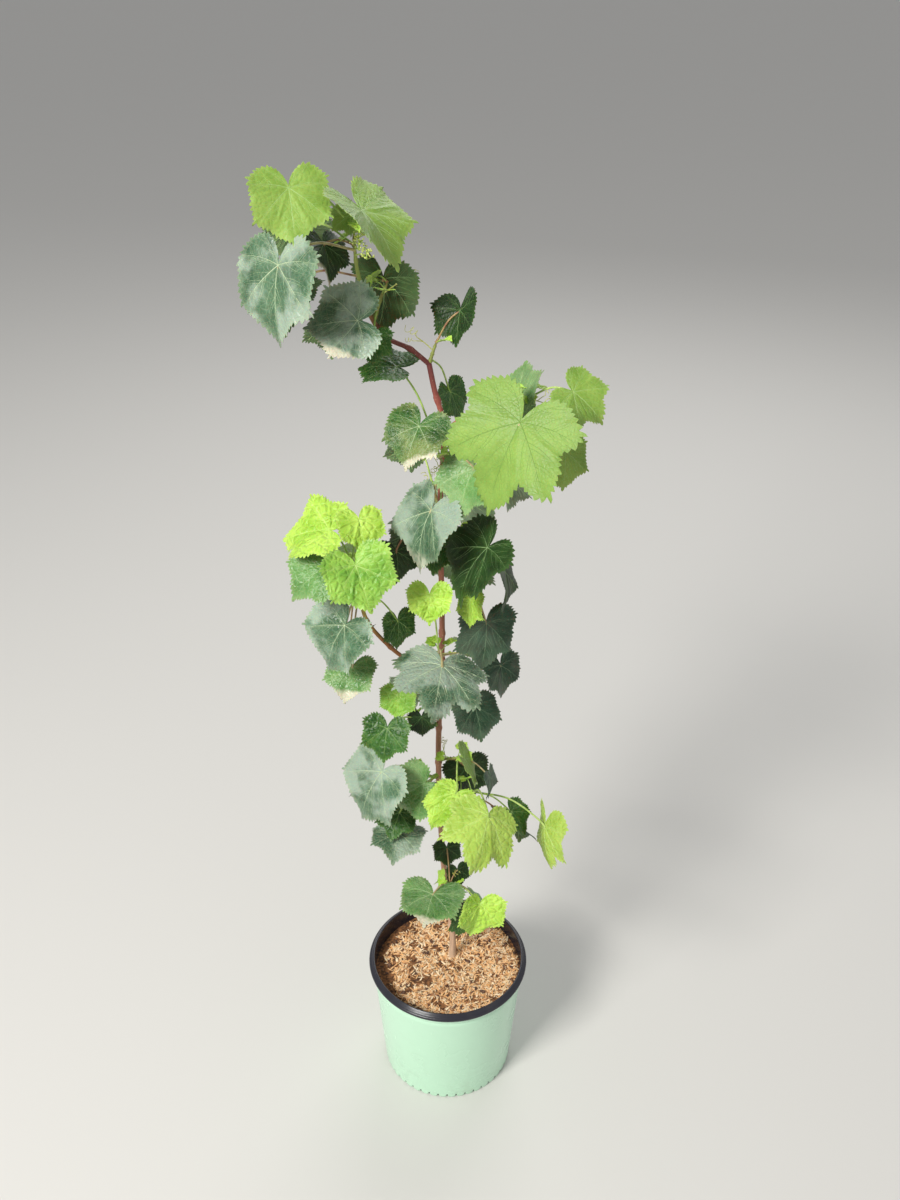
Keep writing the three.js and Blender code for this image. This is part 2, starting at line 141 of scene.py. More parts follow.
class Line:
    """A smooth line through points, walked by its own length."""

    DENSE = 40

    def __init__(self, knots: Sequence[Point]) -> None:
        """Fits a centripetal spline.

        Args:
            knots: The points that the line passes, in order.
        """
        inner = np.asarray(knots, float)
        padded = np.vstack([2 * inner[0] - inner[1], inner, 2 * inner[-1] - inner[-2]])
        spans = [self._span(*padded[i:i + 4]) for i in range(len(inner) - 1)]
        self.points = np.vstack([*spans, inner[-1:]])
        steps = np.linalg.norm(np.diff(self.points, axis=0), axis=1)
        self.walked = np.concatenate([[0.0], np.cumsum(steps)])

    @classmethod
    def _span(cls, a: np.ndarray, b: np.ndarray, c: np.ndarray, d: np.ndarray) -> np.ndarray:
        """Works out one span.

        Args:
            a: The knot before the span.
            b: The span's first knot.
            c: The span's last knot.
            d: The knot after the span.

        Returns:
            Points from b up to but without c.
        """
        ab, bc, cd = (math.sqrt(np.linalg.norm(q - p)) for p, q in ((a, b), (b, c), (c, d)))
        leave = ((b - a) / ab - (c - a) / (ab + bc) + (c - b) / bc) * bc
        arrive = ((c - b) / bc - (d - b) / (bc + cd) + (d - c) / cd) * bc
        t = np.linspace(0, 1, cls.DENSE, endpoint=False)[:, None]
        square = 3 * (c - b) - 2 * leave - arrive
        return b + leave * t + square * t ** 2 + (2 * (b - c) + leave + arrive) * t ** 3

    @property
    def length(self) -> float:
        """The line's length."""
        return float(self.walked[-1])

    def at(self, shares: np.ndarray) -> np.ndarray:
        """Finds the points at shares of the line's length, from 0 to 1."""
        places = np.asarray(shares, float) * self.length
        return np.stack([np.interp(places, self.walked, axis) for axis in self.points.T], axis=-1)


def cross_axes(points: np.ndarray) -> tuple[np.ndarray, np.ndarray]:
    """Carries two cross axes along a line without twist.

    Args:
        points: The line's points.

    Returns:
        Two unit axes at each point, square to the line and to each other.
    """
    tangents = unit(np.gradient(points, axis=0))
    side = np.eye(3)[np.argmin(np.abs(tangents[0]))]
    sides = []
    for tangent in tangents:
        side = unit(side - (side @ tangent) * tangent)
        sides.append(side)
    first = np.array(sides)
    return first, np.cross(tangents, first)


def tube(points: np.ndarray, radii: np.ndarray, sides: int) -> tuple[np.ndarray, np.ndarray]:
    """Makes a closed round tube along a line.

    Args:
        points: The line's points.
        radii: A radius for each point, or for each point and side.
        sides: How many sides the tube has.

    Returns:
        The tube's vertices, and its faces as rows of four.
    """
    first, second = cross_axes(points)
    turn = np.linspace(0, 2 * math.pi, sides, endpoint=False)
    reach = np.broadcast_to(np.asarray(radii, float).reshape(len(points), -1), (len(points), sides))
    ring = (first[:, None] * np.cos(turn)[None, :, None]
            + second[:, None] * np.sin(turn)[None, :, None])
    shell = points[:, None] + ring * reach[:, :, None]
    vertices = np.vstack([shell.reshape(-1, 3), points[:1], points[-1:]])
    return vertices, closed_rings(len(points), sides)


def closed_rings(rings: int, sides: int) -> np.ndarray:
    """Lists the faces of a stack of rings that is closed by a point at each end.

    Args:
        rings: How many rings there are.
        sides: How many vertices a ring has.

    Returns:
        The faces as rows of four; an end's faces repeat their last vertex.
    """
    step = np.arange(rings - 1)[:, None] * sides
    here = np.arange(sides)[None, :]
    after = (here + 1) % sides
    wall = np.stack([step + here, step + after, step + after + sides, step + here + sides], -1)
    foot, tip = rings * sides, rings * sides + 1
    top = (rings - 1) * sides
    low = np.stack([after[0], here[0], np.full(sides, foot), np.full(sides, foot)], -1)
    high = np.stack([top + here[0], top + after[0], np.full(sides, tip), np.full(sides, tip)], -1)
    return np.vstack([wall.reshape(-1, 4), low, high])


class Wire:
    """A node's output, which adds Math nodes where it stands in an expression."""

    def __init__(self, graph: "Graph", socket: bpy.types.NodeSocket | None) -> None:
        """Wraps an output socket, or None after a graph's last node."""
        self.graph = graph
        self.socket = socket

    def _math(self, operation: str, first: "Wire | float", second: "Wire | float") -> "Wire":
        """Adds one Math node and gives its output."""
        return self.graph.node("Math", {"operation": operation}, {0: first, 1: second})

    def __add__(self, other: "Wire | float") -> "Wire":
        """Adds."""
        return self._math("ADD", self, other)

    def __radd__(self, other: float) -> "Wire":
        """Adds, with the number first."""
        return self._math("ADD", other, self)

    def __sub__(self, other: "Wire | float") -> "Wire":
        """Subtracts."""
        return self._math("SUBTRACT", self, other)

    def __rsub__(self, other: float) -> "Wire":
        """Subtracts from a number."""
        return self._math("SUBTRACT", other, self)

    def __mul__(self, other: "Wire | float") -> "Wire":
        """Multiplies."""
        return self._math("MULTIPLY", self, other)

    def __rmul__(self, other: float) -> "Wire":
        """Multiplies, with the number first."""
        return self._math("MULTIPLY", other, self)


class Graph:
    """A material's nodes, written as expressions."""

    MIX_COLOUR = {0: 0, 1: 6, 2: 7}

    def __init__(self, material: bpy.types.Material) -> None:
        """Empties a material's node tree.

        Args:
            material: The material to fill.
        """
        material.use_nodes = True
        self.tree = material.node_tree
        self.tree.nodes.clear()
        self.place = self.node("TexCoord", output="Object")

    def node(self, kind: str, settings: dict | None = None, sockets: dict | None = None,
             output: int | str = 0) -> Wire:
        """Adds a node.

        Args:
            kind: The node's type without its ShaderNode prefix.
            settings: Its settings, which are set first; stops are a ramp's places and colours.
            sockets: Values or wires for its inputs, by name or number.
            output: The output to hand back.

        Returns:
            That output.
        """
        made = self.tree.nodes.new("ShaderNode" + kind)
        for name, value in (settings or {}).items():
            if name == "stops":
                self._set_stops(made.color_ramp, value)
            else:
                setattr(made, name, value)
        for name, value in (sockets or {}).items():
            socket = made.inputs[name]
            if isinstance(value, Wire):
                self.tree.links.new(value.socket, socket)
            elif isinstance(value, tuple) and socket.type == "RGBA":
                socket.default_value = (*value[:3], 1.0)
            else:
                socket.default_value = value
        return Wire(self, made.outputs[output] if made.outputs else None)

    @staticmethod
    def _set_stops(ramp: bpy.types.ColorRamp, stops: Sequence[tuple[float, Colour]]) -> None:
        """Gives a colour ramp its stops.

        Args:
            ramp: The ramp.
            stops: Each stop's place from 0 to 1, and its colour.
        """
        while len(ramp.elements) < len(stops):
            ramp.elements.new(1.0)
        for element, (place, colour) in zip(ramp.elements, stops):
            element.position = place
            element.color = (*colour, 1.0)

    def noise(self, scale: float, detail: float = 2.0, stretch: Point = (1, 1, 1)) -> Wire:
        """Adds a cloudy pattern around 0.5, with a scale in waves to a metre."""
        where = self.node("Mapping", sockets={"Vector": self.place, "Scale": stretch})
        return self.node("TexNoise", sockets={"Vector": where, "Scale": scale, "Detail": detail})

    def ease(self, value: Wire, low: float, high: float) -> Wire:
        """Eases a value from 0 at low to 1 at high."""
        return self.node("MapRange", {"interpolation_type": "SMOOTHSTEP"},
                         {"Value": value, "From Min": low, "From Max": high})

    def mix(self, share: Wire | float, low: Wire | Colour, high: Wire | Colour) -> Wire:
        """Mixes two colours, with the share of the second."""
        values = {self.MIX_COLOUR[i]: v for i, v in enumerate((share, low, high))}
        return self.node("Mix", {"data_type": "RGBA"}, values, output=2)

    def scaled(self, colour: Wire, by: Wire) -> Wire:
        """Makes a colour brighter or darker."""
        return self.node("VectorMath", {"operation": "SCALE"}, {0: colour, "Scale": by})

    def mark(self, name: str) -> Wire:
        """Reads a number that the mesh holds at each point."""
        return self.node("Attribute", {"attribute_name": name}, output="Fac")

    def surface(self, base: Wire | Colour, roughness: Wire | float, height: Wire | None = None,
                relief: float = 0.0, **fixed: float) -> None:
        """Ends the graph in one Principled surface.

        Args:
            base: Its colour.
            roughness: Its roughness.
            height: A pattern that stands out of it.
            relief: How far that pattern stands out, in metres.
            **fixed: Numbers for other sockets, with _ for a space.
        """
        sockets = {"Base Color": base, "Roughness": roughness}
        sockets.update({name.replace("_", " "): value for name, value in fixed.items()})
        if height is not None:
            sockets["Normal"] = self.node("Bump", sockets={"Height": height, "Distance": relief})
        shader = self.node("BsdfPrincipled", sockets=sockets)
        self.node("OutputMaterial", sockets={"Surface": shader})


@dataclass(frozen=True)
class Finish:
    """A finish of one surface, made into a material the first time it is worn."""

    name: str

    def material(self) -> bpy.types.Material:
        """Gives the finish's material.

        Returns:
            The material, made and painted on the first call.
        """
        made = bpy.data.materials.get(self.name)
        if made is None:
            made = bpy.data.materials.new(self.name)
            self.paint(Graph(made))
        return made

    def paint(self, graph: Graph) -> None:
        """Fills the material's empty graph."""
        raise NotImplementedError


@dataclass(frozen=True)
class BladeFinish(Finish):
    """One face of a leaf: two greens in clouds, patches of painted sheen, fine veins and a pale rim.

    The sheen is painted light: pale patches mixed into the base colour stand in for light reflected
    off the leaf. The crinkle says how strongly the small fields between the fine veins bulge, the net
    how plainly those veins show, and the glow how pale the blade is beside its main veins.
    """

    dark: Colour
    light: Colour
    rim: Colour
    # The next two fields set the painted sheen: how much pale colour stands in for reflected light,
    # and which colour.
    bloom: float = 0.0
    wax: Colour = ink("#B9C8B0")
    roughness: float = 0.5
    felt: float = 0.0
    crinkle: float = 0.4
    net: float = 0.16
    glow: float = 0.25
    cells: float = 260.0

    BLEACH = ink("#DAD4BC")
    CLOUDS = 42
    # The scale of the painted sheen patches, in waves to a metre.
    SHEEN_SCALE = 26
    FADES = 110
    GRAIN = 900
    NET_WIDTH = 0.09
    FIELD_WIDTH = 0.34
    RIM_SHARE = 0.3
    SHADE_SHARE = 0.1
    BLEACH_SHARE = 0.85
    # Where the painted sheen patches start and end.
    SHEEN_EASE = (0.44, 0.6)
    FADE_EASE = (0.3, 0.75)
    RAGGED = 0.7
    CLOUDS_DULL = 0.14
    SHEEN_PATCH_DULL = 0.08
    GRAIN_SHARE = 0.2
    RELIEF = 0.3 * MM

    def paint(self, graph: Graph) -> None:
        """Fills the material's graph.

        Args:
            graph: The empty graph.
        """
        clouds = graph.ease(graph.noise(self.CLOUDS, 3), *CLOUD_EASE)
        cells = graph.node("TexVoronoi", {"feature": "DISTANCE_TO_EDGE"},
                           {"Vector": graph.place, "Scale": self.cells})
        net = 1 - graph.ease(cells, 0.0, self.NET_WIDTH)
        green = graph.mix(clouds, self.dark, self.light)
        # Painted sheen: pale patches mixed into the base colour stand in for light reflected off the
        # leaf.
        waxy = graph.ease(graph.noise(self.SHEEN_SCALE, 4), *self.SHEEN_EASE) * self.bloom
        green = graph.mix(waxy, green, self.wax)
        green = graph.mix(net * self.net, green, self.rim)
        green = graph.mix(graph.mark("glow") * self.glow, green, self.rim)
        green = graph.mix(graph.mark("rim") * self.RIM_SHARE, green, self.rim)
        green = graph.scaled(green, graph.mark("shade") * self.SHADE_SHARE + 1.0)
        ragged = (graph.noise(self.FADES, 3) - 0.5) * self.RAGGED
        pale = graph.ease(graph.mark("fade") + ragged, *self.FADE_EASE)
        green = graph.mix(pale * self.BLEACH_SHARE, green, self.BLEACH)
        rough = self.roughness + (clouds - 0.5) * self.CLOUDS_DULL + waxy * self.SHEEN_PATCH_DULL
        fields = graph.ease(cells, 0.0, self.FIELD_WIDTH)
        height = graph.noise(self.GRAIN, 2) * self.GRAIN_SHARE + fields * self.crinkle
        graph.surface(green, rough, height, self.RELIEF, Sheen_Weight=self.felt,
                      Specular_IOR_Level=0.35, Subsurface_Weight=0.1, Subsurface_Scale=0.002)


@dataclass(frozen=True)
class ShootFinish(Finish):
    """Green or reddish skin of a vein, stalk or twig, with faint streaks."""

    dark: Colour
    light: Colour
    roughness: float = 0.45

    STREAKS = 180
    ALONG = (1, 1, 0.25)
    STREAK_DULL = 0.1
    GRAIN = 1500
    RELIEF = 0.06 * MM

    def paint(self, graph: Graph) -> None:
        """Fills the material's graph.

        Args:
            graph: The empty graph.
        """
        streaks = graph.noise(self.STREAKS, 2, self.ALONG)
        skin = graph.mix(graph.ease(streaks, *CLOUD_EASE), self.dark, self.light)
        rough = self.roughness + streaks * self.STREAK_DULL
        graph.surface(skin, rough, graph.noise(self.GRAIN, 2), self.RELIEF)


@dataclass(frozen=True)
class BarkFinish(Finish):
    """Thin bark whose colour turns from low to high, with fibres and corky flecks."""

    stops: tuple[tuple[float, Colour], ...]
    low: float
    high: float
    fleck: Colour = ink("#D8C3A6")

    FIBRES = 420
    FIBRES_ALONG = (1, 1, 0.07)
    FLECKS = 620
    FLECKS_ALONG = (1, 1, 0.4)
    FLECK_SHARE = 0.55
    FLECK_EASE = (0.66, 0.74)
    FLECK_HEIGHT = 0.5
    TONE = (0.55, 0.9)
    ROUGHNESS = (0.5, 0.3)
    RELIEF = 0.25 * MM

    def paint(self, graph: Graph) -> None:
        """Fills the material's graph.

        Args:
            graph: The empty graph.
        """
        height = graph.node("SeparateXYZ", sockets={"Vector": graph.place}, output="Z")
        share = graph.node("MapRange", sockets={
            "Value": height, "From Min": self.low, "From Max": self.high})
        skin = graph.node("ValToRGB", {"stops": self.stops}, {"Fac": share})
        fibres = graph.noise(self.FIBRES, 3, self.FIBRES_ALONG)
        darkest, gain = self.TONE
        skin = graph.scaled(skin, fibres * gain + darkest)
        flecks = graph.ease(graph.noise(self.FLECKS, 1, self.FLECKS_ALONG), *self.FLECK_EASE)
        skin = graph.mix(flecks * self.FLECK_SHARE, skin, self.fleck)
        least, gain = self.ROUGHNESS
        height = fibres + flecks * self.FLECK_HEIGHT
        graph.surface(skin, least + fibres * gain, height, self.RELIEF)


@dataclass(frozen=True)
class PlasticFinish(Finish):
    """Moulded plastic with a soft grain, dust towards its foot and a few fine scuffs."""

    colour: Colour
    dust: Colour
    roughness: float
    dusty: float = 0.25

    CLOUDS = 18
    GRIME = 70
    GRIME_HEIGHT = 60 * MM
    GRIME_EASE = (0.48, 0.8)
    GRIME_ABOVE = 0.2
    SCUFFS = 260
    SCUFFS_ALONG = (1, 1, 0.12)
    SCUFF_EASE = (0.68, 0.78)
    SCUFF_SHARE = 0.3
    SCUFF_TONE = 0.35
    CLOUDS_DULL = 0.16
    GRIME_DULL = 0.4
    GRAIN_SHARE = 0.6
    GRAIN = 1300
    RELIEF = 0.12 * MM

    def paint(self, graph: Graph) -> None:
        """Fills the material's graph.

        Args:
            graph: The empty graph.
        """
        clouds = graph.noise(self.CLOUDS, 4)
        height = graph.node("SeparateXYZ", sockets={"Vector": graph.place}, output="Z")
        low = 1 - graph.ease(height, 0.0, self.GRIME_HEIGHT)
        reach = low * (1 - self.GRIME_ABOVE) + self.GRIME_ABOVE
        grime = graph.ease(graph.noise(self.GRIME, 5), *self.GRIME_EASE) * reach * self.dusty
        scuffs = graph.ease(graph.noise(self.SCUFFS, 3, self.SCUFFS_ALONG), *self.SCUFF_EASE)
        scuffs *= self.SCUFF_SHARE
        skin = graph.mix(grime, self.colour, self.dust)
        skin = graph.mix(scuffs * self.SCUFF_TONE, skin, self.dust)
        rough = self.roughness + (clouds - 0.5) * self.CLOUDS_DULL + grime * self.GRIME_DULL + scuffs
        height = graph.noise(self.GRAIN, 2) * self.GRAIN_SHARE + clouds
        graph.surface(skin, rough, height, self.RELIEF)


@dataclass(frozen=True)
class MixFinish(Finish):
    """Shredded bark and husk: dull, fibrous, darker in its hollows."""

    dark: Colour
    light: Colour

    GRAIN = 300
    FUZZ = 1100
    ROUGHNESS = 0.8
    GRAIN_DULL = 0.15
    RELIEF = 0.3 * MM

    def paint(self, graph: Graph) -> None:
        """Fills the material's graph.

        Args:
            graph: The empty graph.
        """
        grain = graph.noise(self.GRAIN, 4)
        skin = graph.mix(graph.ease(grain, *CLOUD_EASE), self.dark, self.light)
        rough = self.ROUGHNESS + grain * self.GRAIN_DULL
        graph.surface(skin, rough, graph.noise(self.FUZZ, 3), self.RELIEF)


@dataclass(frozen=True)
class FloorFinish(Finish):
    """A plain pale studio floor."""

    colour: Colour

    CLOUDS = 3
    ROUGHNESS = 0.75
    CLOUDS_DULL = 0.1

    def paint(self, graph: Graph) -> None:
        """Fills the material's graph."""
        rough = self.ROUGHNESS + graph.noise(self.CLOUDS, 2) * self.CLOUDS_DULL
        graph.surface(self.colour, rough)


@dataclass(frozen=True)
class LeafTone:
    """The finishes of one kind of leaf: both faces, its veins and its stalk.

    The pucker says how far the blade bulges between its veins, over the leaf's half width.
    """

    upper: BladeFinish
    under: BladeFinish
    vein: ShootFinish
    stalk: ShootFinish
    pucker: float

    @classmethod
    def mixed(cls, name: str, upper: str, under: str, vein: str, stalk: ShootFinish,
              pucker: float = 0.022, dull: float = 0.7, felt: float = 0.25,
              **look: float | Colour) -> "LeafTone":
        """Mixes one kind of leaf from its colours.

        Args:
            name: The kind's name.
            upper: The upper face's dark, light and rim colours.
            under: The lower face's colours, in the same order.
            vein: The veins' dark and light colours.
            stalk: The stalk's finish.
            pucker: How far the blade bulges between its veins.
            dull: The lower face's roughness.
            felt: How downy the lower face is.
            **look: Further settings of the upper face.

        Returns:
            The kind's finishes.
        """
        return cls(
            BladeFinish(f"leaf_{name}", *map(ink, upper.split()), **look),
            BladeFinish(f"leaf_{name}_under", *map(ink, under.split()), roughness=dull, felt=felt),
            ShootFinish(f"vein_{name}", *map(ink, vein.split())),
            stalk,
            pucker,
        )


PALE_STALK = ShootFinish("stalk_pale_green", ink("#8FB04A"), ink("#BFD57A"))
BEIGE_STALK = ShootFinish("stalk_beige", ink("#A98F62"), ink("#C9BC8A"))
RED_STALK = ShootFinish("stalk_reddish", ink("#8E5A45"), ink("#B8A06A"))


class Tone(Enum):
    """The kinds of leaf on the vine, from the youngest to the darkest."""

    YOUNG = LeafTone.mixed(
        "young", "#98BA44 #B4D25E #CFE38A", "#93B14C #AFCB6C #C9DA8E", "#BAD672 #D2E898",
        PALE_STALK, 0.036, roughness=0.46, crinkle=1.8, net=0.08, cells=140)
    CRISP = LeafTone.mixed(
        "crisp", "#98C63A #BEE45C #DAF088", "#93B14C #AFCB6C #C9DA8E", "#B9DC66 #D6EE92",
        PALE_STALK, 0.055, roughness=0.44, crinkle=3.6, net=0.1, cells=125)
    BRIGHT = LeafTone.mixed(
        "bright", "#68A234 #9BCB50 #C2DE80", "#7A9E4A #98B96A #B2CA86", "#B0D26C #CFE596",
        PALE_STALK, 0.04, roughness=0.42, crinkle=2.4, net=0.12, glow=0.3, cells=150)
    LIME = LeafTone.mixed(
        "lime", "#7DA044 #8EB151 #6B8C3C", "#8AA85A #A5C078 #BACF92", "#6F9040 #7F9F4C",
        BEIGE_STALK, 0.018, roughness=0.5, crinkle=0.5, net=0.3, glow=0.15)
    LIGHT = LeafTone.mixed(
        "light", "#759A3A #8BAC4C #ADC575", "#7F9F5E #9CB87C #B4C995", "#A4C57C #BCD898",
        PALE_STALK, dull=0.72, roughness=0.46, crinkle=0.6, net=0.12, cells=190)
    FRESH = LeafTone.mixed(
        "fresh", "#204B16 #3A6A25 #78A04B", "#4E7040 #6B8A58 #8CA572", "#9ABF70 #BAD694",
        PALE_STALK, 0.03, dull=0.74, felt=0.3, roughness=0.42, crinkle=1.6, cells=160)
    # The sheen settings below paint pale patches into the upper face's colour, standing in for light
    # reflected off the leaf.
    SAGE = LeafTone.mixed(
        "sage", "#38593D #557658 #B2C49E", "#6B8465 #879C7E #A8B594", "#B4C79C #CFDEB8",
        BEIGE_STALK, dull=0.76, felt=0.35, bloom=0.66, wax=ink("#AEBFAE"), roughness=0.35,
        crinkle=1.2, glow=0.2, cells=200)
    BLUE = LeafTone.mixed(
        "blue", "#4A7A3C #6C9A54 #AFC88A", "#64835F #809C77 #A0B48B", "#9CBA80 #B8D09C",
        BEIGE_STALK, dull=0.76, felt=0.35, bloom=0.26, wax=ink("#B0C396"), roughness=0.34,
        crinkle=1.2, glow=0.2, cells=200)
    DEEP = LeafTone.mixed(
        "deep", "#122A09 #234315 #56783C", "#2B461F #3F5F2D #5E7A42", "#6C8E54 #8FAC74",
        RED_STALK, dull=0.72, felt=0.12, roughness=0.42, net=0.1)
    TEAL = LeafTone.mixed(
        "teal", "#1B3822 #305238 #6C8A68", "#3C5A3C #557253 #7A9072", "#708E6A #90AA86",
        BEIGE_STALK, dull=0.74, felt=0.2, bloom=0.1, roughness=0.4, net=0.1)
    MOTTLED = LeafTone.mixed(
        "mottled", "#1F481C #41702F #A6BE78", "#5D7D52 #7C9A6A #9DB086", "#BCD0A2 #D8E4C0",
        PALE_STALK, dull=0.74, felt=0.3, bloom=0.5, wax=ink("#A9B76C"), roughness=0.4,
        crinkle=1.2, glow=0.2)


class Wood(Enum):
    """The finishes of bark and shoots."""

    STEM = BarkFinish("bark_stem", (
        (0.0, ink("#D6BA9E")), (0.12, ink("#C59A7E")), (0.4, ink("#B27C64")),
        (0.75, ink("#B06A56")), (0.93, ink("#B66254")), (1.0, ink("#74393A"))),
        low=0.155, high=0.955)
    LEADER = BarkFinish("bark_leader", (
        (0.0, ink("#6E3234")), (0.45, ink("#84463A")), (1.0, ink("#90803E"))),
        low=0.945, high=1.03)
    SIDE = BarkFinish("bark_side", (
        (0.0, ink("#7E4630")), (0.6, ink("#AC6E3C")), (1.0, ink("#B4A552"))),
        low=0.585, high=0.722)
    RIGHT = BarkFinish("bark_right", (
        (0.0, ink("#9A5648")), (1.0, ink("#A88660"))),
        low=0.88, high=0.922)
    TWIG = ShootFinish("twig_green_brown", ink("#7C6A3A"), ink("#9FAE58"))
    TENDRIL = ShootFinish("tendril", ink("#B9B94E"), ink("#D8D987"))
    BUD = ShootFinish("bud_scale", ink("#6B3B2B"), ink("#A2745A"), roughness=0.6)
    FLOWER = ShootFinish("flower_bud", ink("#B9C94E"), ink("#E6EA90"), roughness=0.5)


class Slot(Enum):
    """The record's material slots."""

    POT = "pot"
    MIX = "potting_mix"
    BARK = "bark"
    SHOOT = "red_shoot"
    LEAF = "leaf"


@dataclass
class Draft:
    """Points and faces gathered into one joined piece, each face with its finish."""

    name: str
    slot: Slot
    replaced: tuple[str, ...] = ()
    points: list[np.ndarray] = field(default_factory=list)
    faces: list[list[int]] = field(default_factory=list)
    worn: list[int] = field(default_factory=list)
    finishes: dict[Finish, int] = field(default_factory=dict)
    marks: dict[str, list[np.ndarray]] = field(
        default_factory=lambda: {name: [] for name in MARKS})
    count: int = 0
    made: bpy.types.Object | None = None

    SHARP = math.radians(58)

    def add(self, points: np.ndarray, parts: Sequence[tuple[np.ndarray, Finish]],
            **marks: np.ndarray | float) -> None:
        """Adds one closed shape.

        Args:
            points: The shape's vertices.
            parts: Its faces, with the finish that they wear.
            **marks: Numbers for its vertices, by the mark's name.
        """
        for faces, finish in parts:
            index = self.finishes.setdefault(finish, len(self.finishes))
            rows = (np.asarray(faces) + self.count).tolist()
            self.faces += [row if row[-1] != row[-2] else row[:-1] for row in rows]
            self.worn += [index] * len(rows)
        self.points.append(np.asarray(points, float))
        for name, kept in self.marks.items():
            kept.append(np.broadcast_to(np.asarray(marks.get(name, 0.0), float), len(points)))
        self.count += len(points)

    def add_tube(self, path: np.ndarray, radii: np.ndarray, sides: int, finish: Finish) -> None:
        """Adds a round tube along a line, in one finish."""
        points, faces = tube(path, radii, sides)
        self.add(points, [(faces, finish)])

    def shape(self) -> bpy.types.Object:
        """Makes the joined mesh, hangs it from the body, and hides the parts that it replaces.

        Returns:
            The bare object.
        """
        mesh = bpy.data.meshes.new(self.name)
        mesh.from_pydata(np.vstack(self.points).tolist(), [], self.faces)
        mesh.polygons.foreach_set("material_index", self.worn)
        mesh.polygons.foreach_set("use_smooth", [True] * len(self.faces))
        for name, kept in self.marks.items():
            values = np.concatenate(kept).astype(np.float32)
            mesh.attributes.new(name, "FLOAT", "POINT").data.foreach_set("value", values)
        mesh.set_sharp_from_angle(angle=self.SHARP)
        mesh.update()
        self.made = bpy.data.objects.new(self.name, mesh)
        bpy.context.scene.collection.objects.link(self.made)
        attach(self.made, BODY)
        if self.replaced:
            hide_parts(*self.replaced)
        return self.made

    def dress(self) -> None:
        """Puts the finishes' materials on the mesh, in the order of their numbers."""
        for finish in self.finishes:
            self.made.data.materials.append(finish.material())


class Assembly:
    """A part of the vine that is built as drafts and then dressed."""

    def build(self) -> list[Draft]:
        """Shapes the meshes, with one draft for each piece."""
        raise NotImplementedError

    def dress(self, drafts: Sequence[Draft]) -> None:
        """Puts the finishes on the pieces and reports them.

        Args:
            drafts: The built drafts.
        """
        for draft in drafts:
            draft.dress()
            log.info("%s: %d faces, %d finishes", draft.name, len(draft.faces), len(draft.finishes))


OUTLINE_BASE = 0.94
AHEAD = 0.16
LOBES = ((0.26, 0, 19), (0.18, 50, 16), (0.13, 103, 26))
NOTCHES = ((1, 28, 10), (0.7, 79, 11))
BAY = ((0.9, 180, 28),)
MIDRIB_SOFTNESS = 0.01
CURL_SHARE = 0.5
EDGE_FALL = 0.08
WAVES = 3


@dataclass(frozen=True)
class Place:
    """Where a leaf sits, in millimetres and degrees, and what makes it stand out."""

    x: float
    y: float
    z: float
    width: float
    heading: float
    droop: float
    roll: float
    tone: Tone
    cut: float | None = None
    fold: float | None = None
    ahead: float = AHEAD
    tear: tuple[float, float] | None = None
    fade: tuple[float, float] | None = None


@dataclass(frozen=True)
class Bend:
    """How a leaf's outline is cut, how its blade is bent, and how far ahead of its joint it lies."""

    cut: float
    fold: float
    curl: float
    wave: float
    phase: float
    ahead: float

    RANGES = ((0.06, 0.16), (0.04, 0.26), (0.1, 0.45), (0.03, 0.09), (0, 2 * math.pi))

    @classmethod
    def drawn(cls, stream: Stream, place: Place) -> "Bend":
        """Draws a leaf's bends.

        Args:
            stream: The mass's own stream.
            place: The leaf's place, which may fix its cut and its fold.

        Returns:
            The bends.
        """
        cut, fold, *rest = [stream.between(low, high) for low, high in cls.RANGES]
        cut = cut if place.cut is None else place.cut
        fold = fold if place.fold is None else place.fold
        return cls(cut, fold, *rest, place.ahead)

    def reach(self, angle: np.ndarray) -> np.ndarray:
        """Says how far the leaf's edge lies from its joint.

        Args:
            angle: Directions in degrees from the leaf's tip.

        Returns:
            Distances over the leaf's half width.
        """
        away = np.abs(angle)
        lobes = (OUTLINE_BASE + peaks(LOBES, away) - self.cut * bumps(NOTCHES, away)
                 + self.ahead * np.cos(np.radians(away)))
        return lobes * (1 - bumps(BAY, away))

    def lift(self, u: np.ndarray, v: np.ndarray) -> np.ndarray:
        """Says how high the blade lies over its flat plane.

        Args:
            u: Places along the midrib, over the half width.
            v: Places across it.

        Returns:
            Heights over the half width.
        """
        turn = np.arctan2(v, u)
        out = u * u + v * v
        return (self.fold * np.sqrt(v * v + MIDRIB_SOFTNESS) - CURL_SHARE * self.curl * u * np.abs(u)
                - EDGE_FALL * out + self.wave * out * np.sin(WAVES * turn + self.phase))


@dataclass(frozen=True)
class Vein:
    """One vein, flat in the leaf's plane, with its girth over the leaf's half width."""

    path: np.ndarray
    root: float
    tip: float


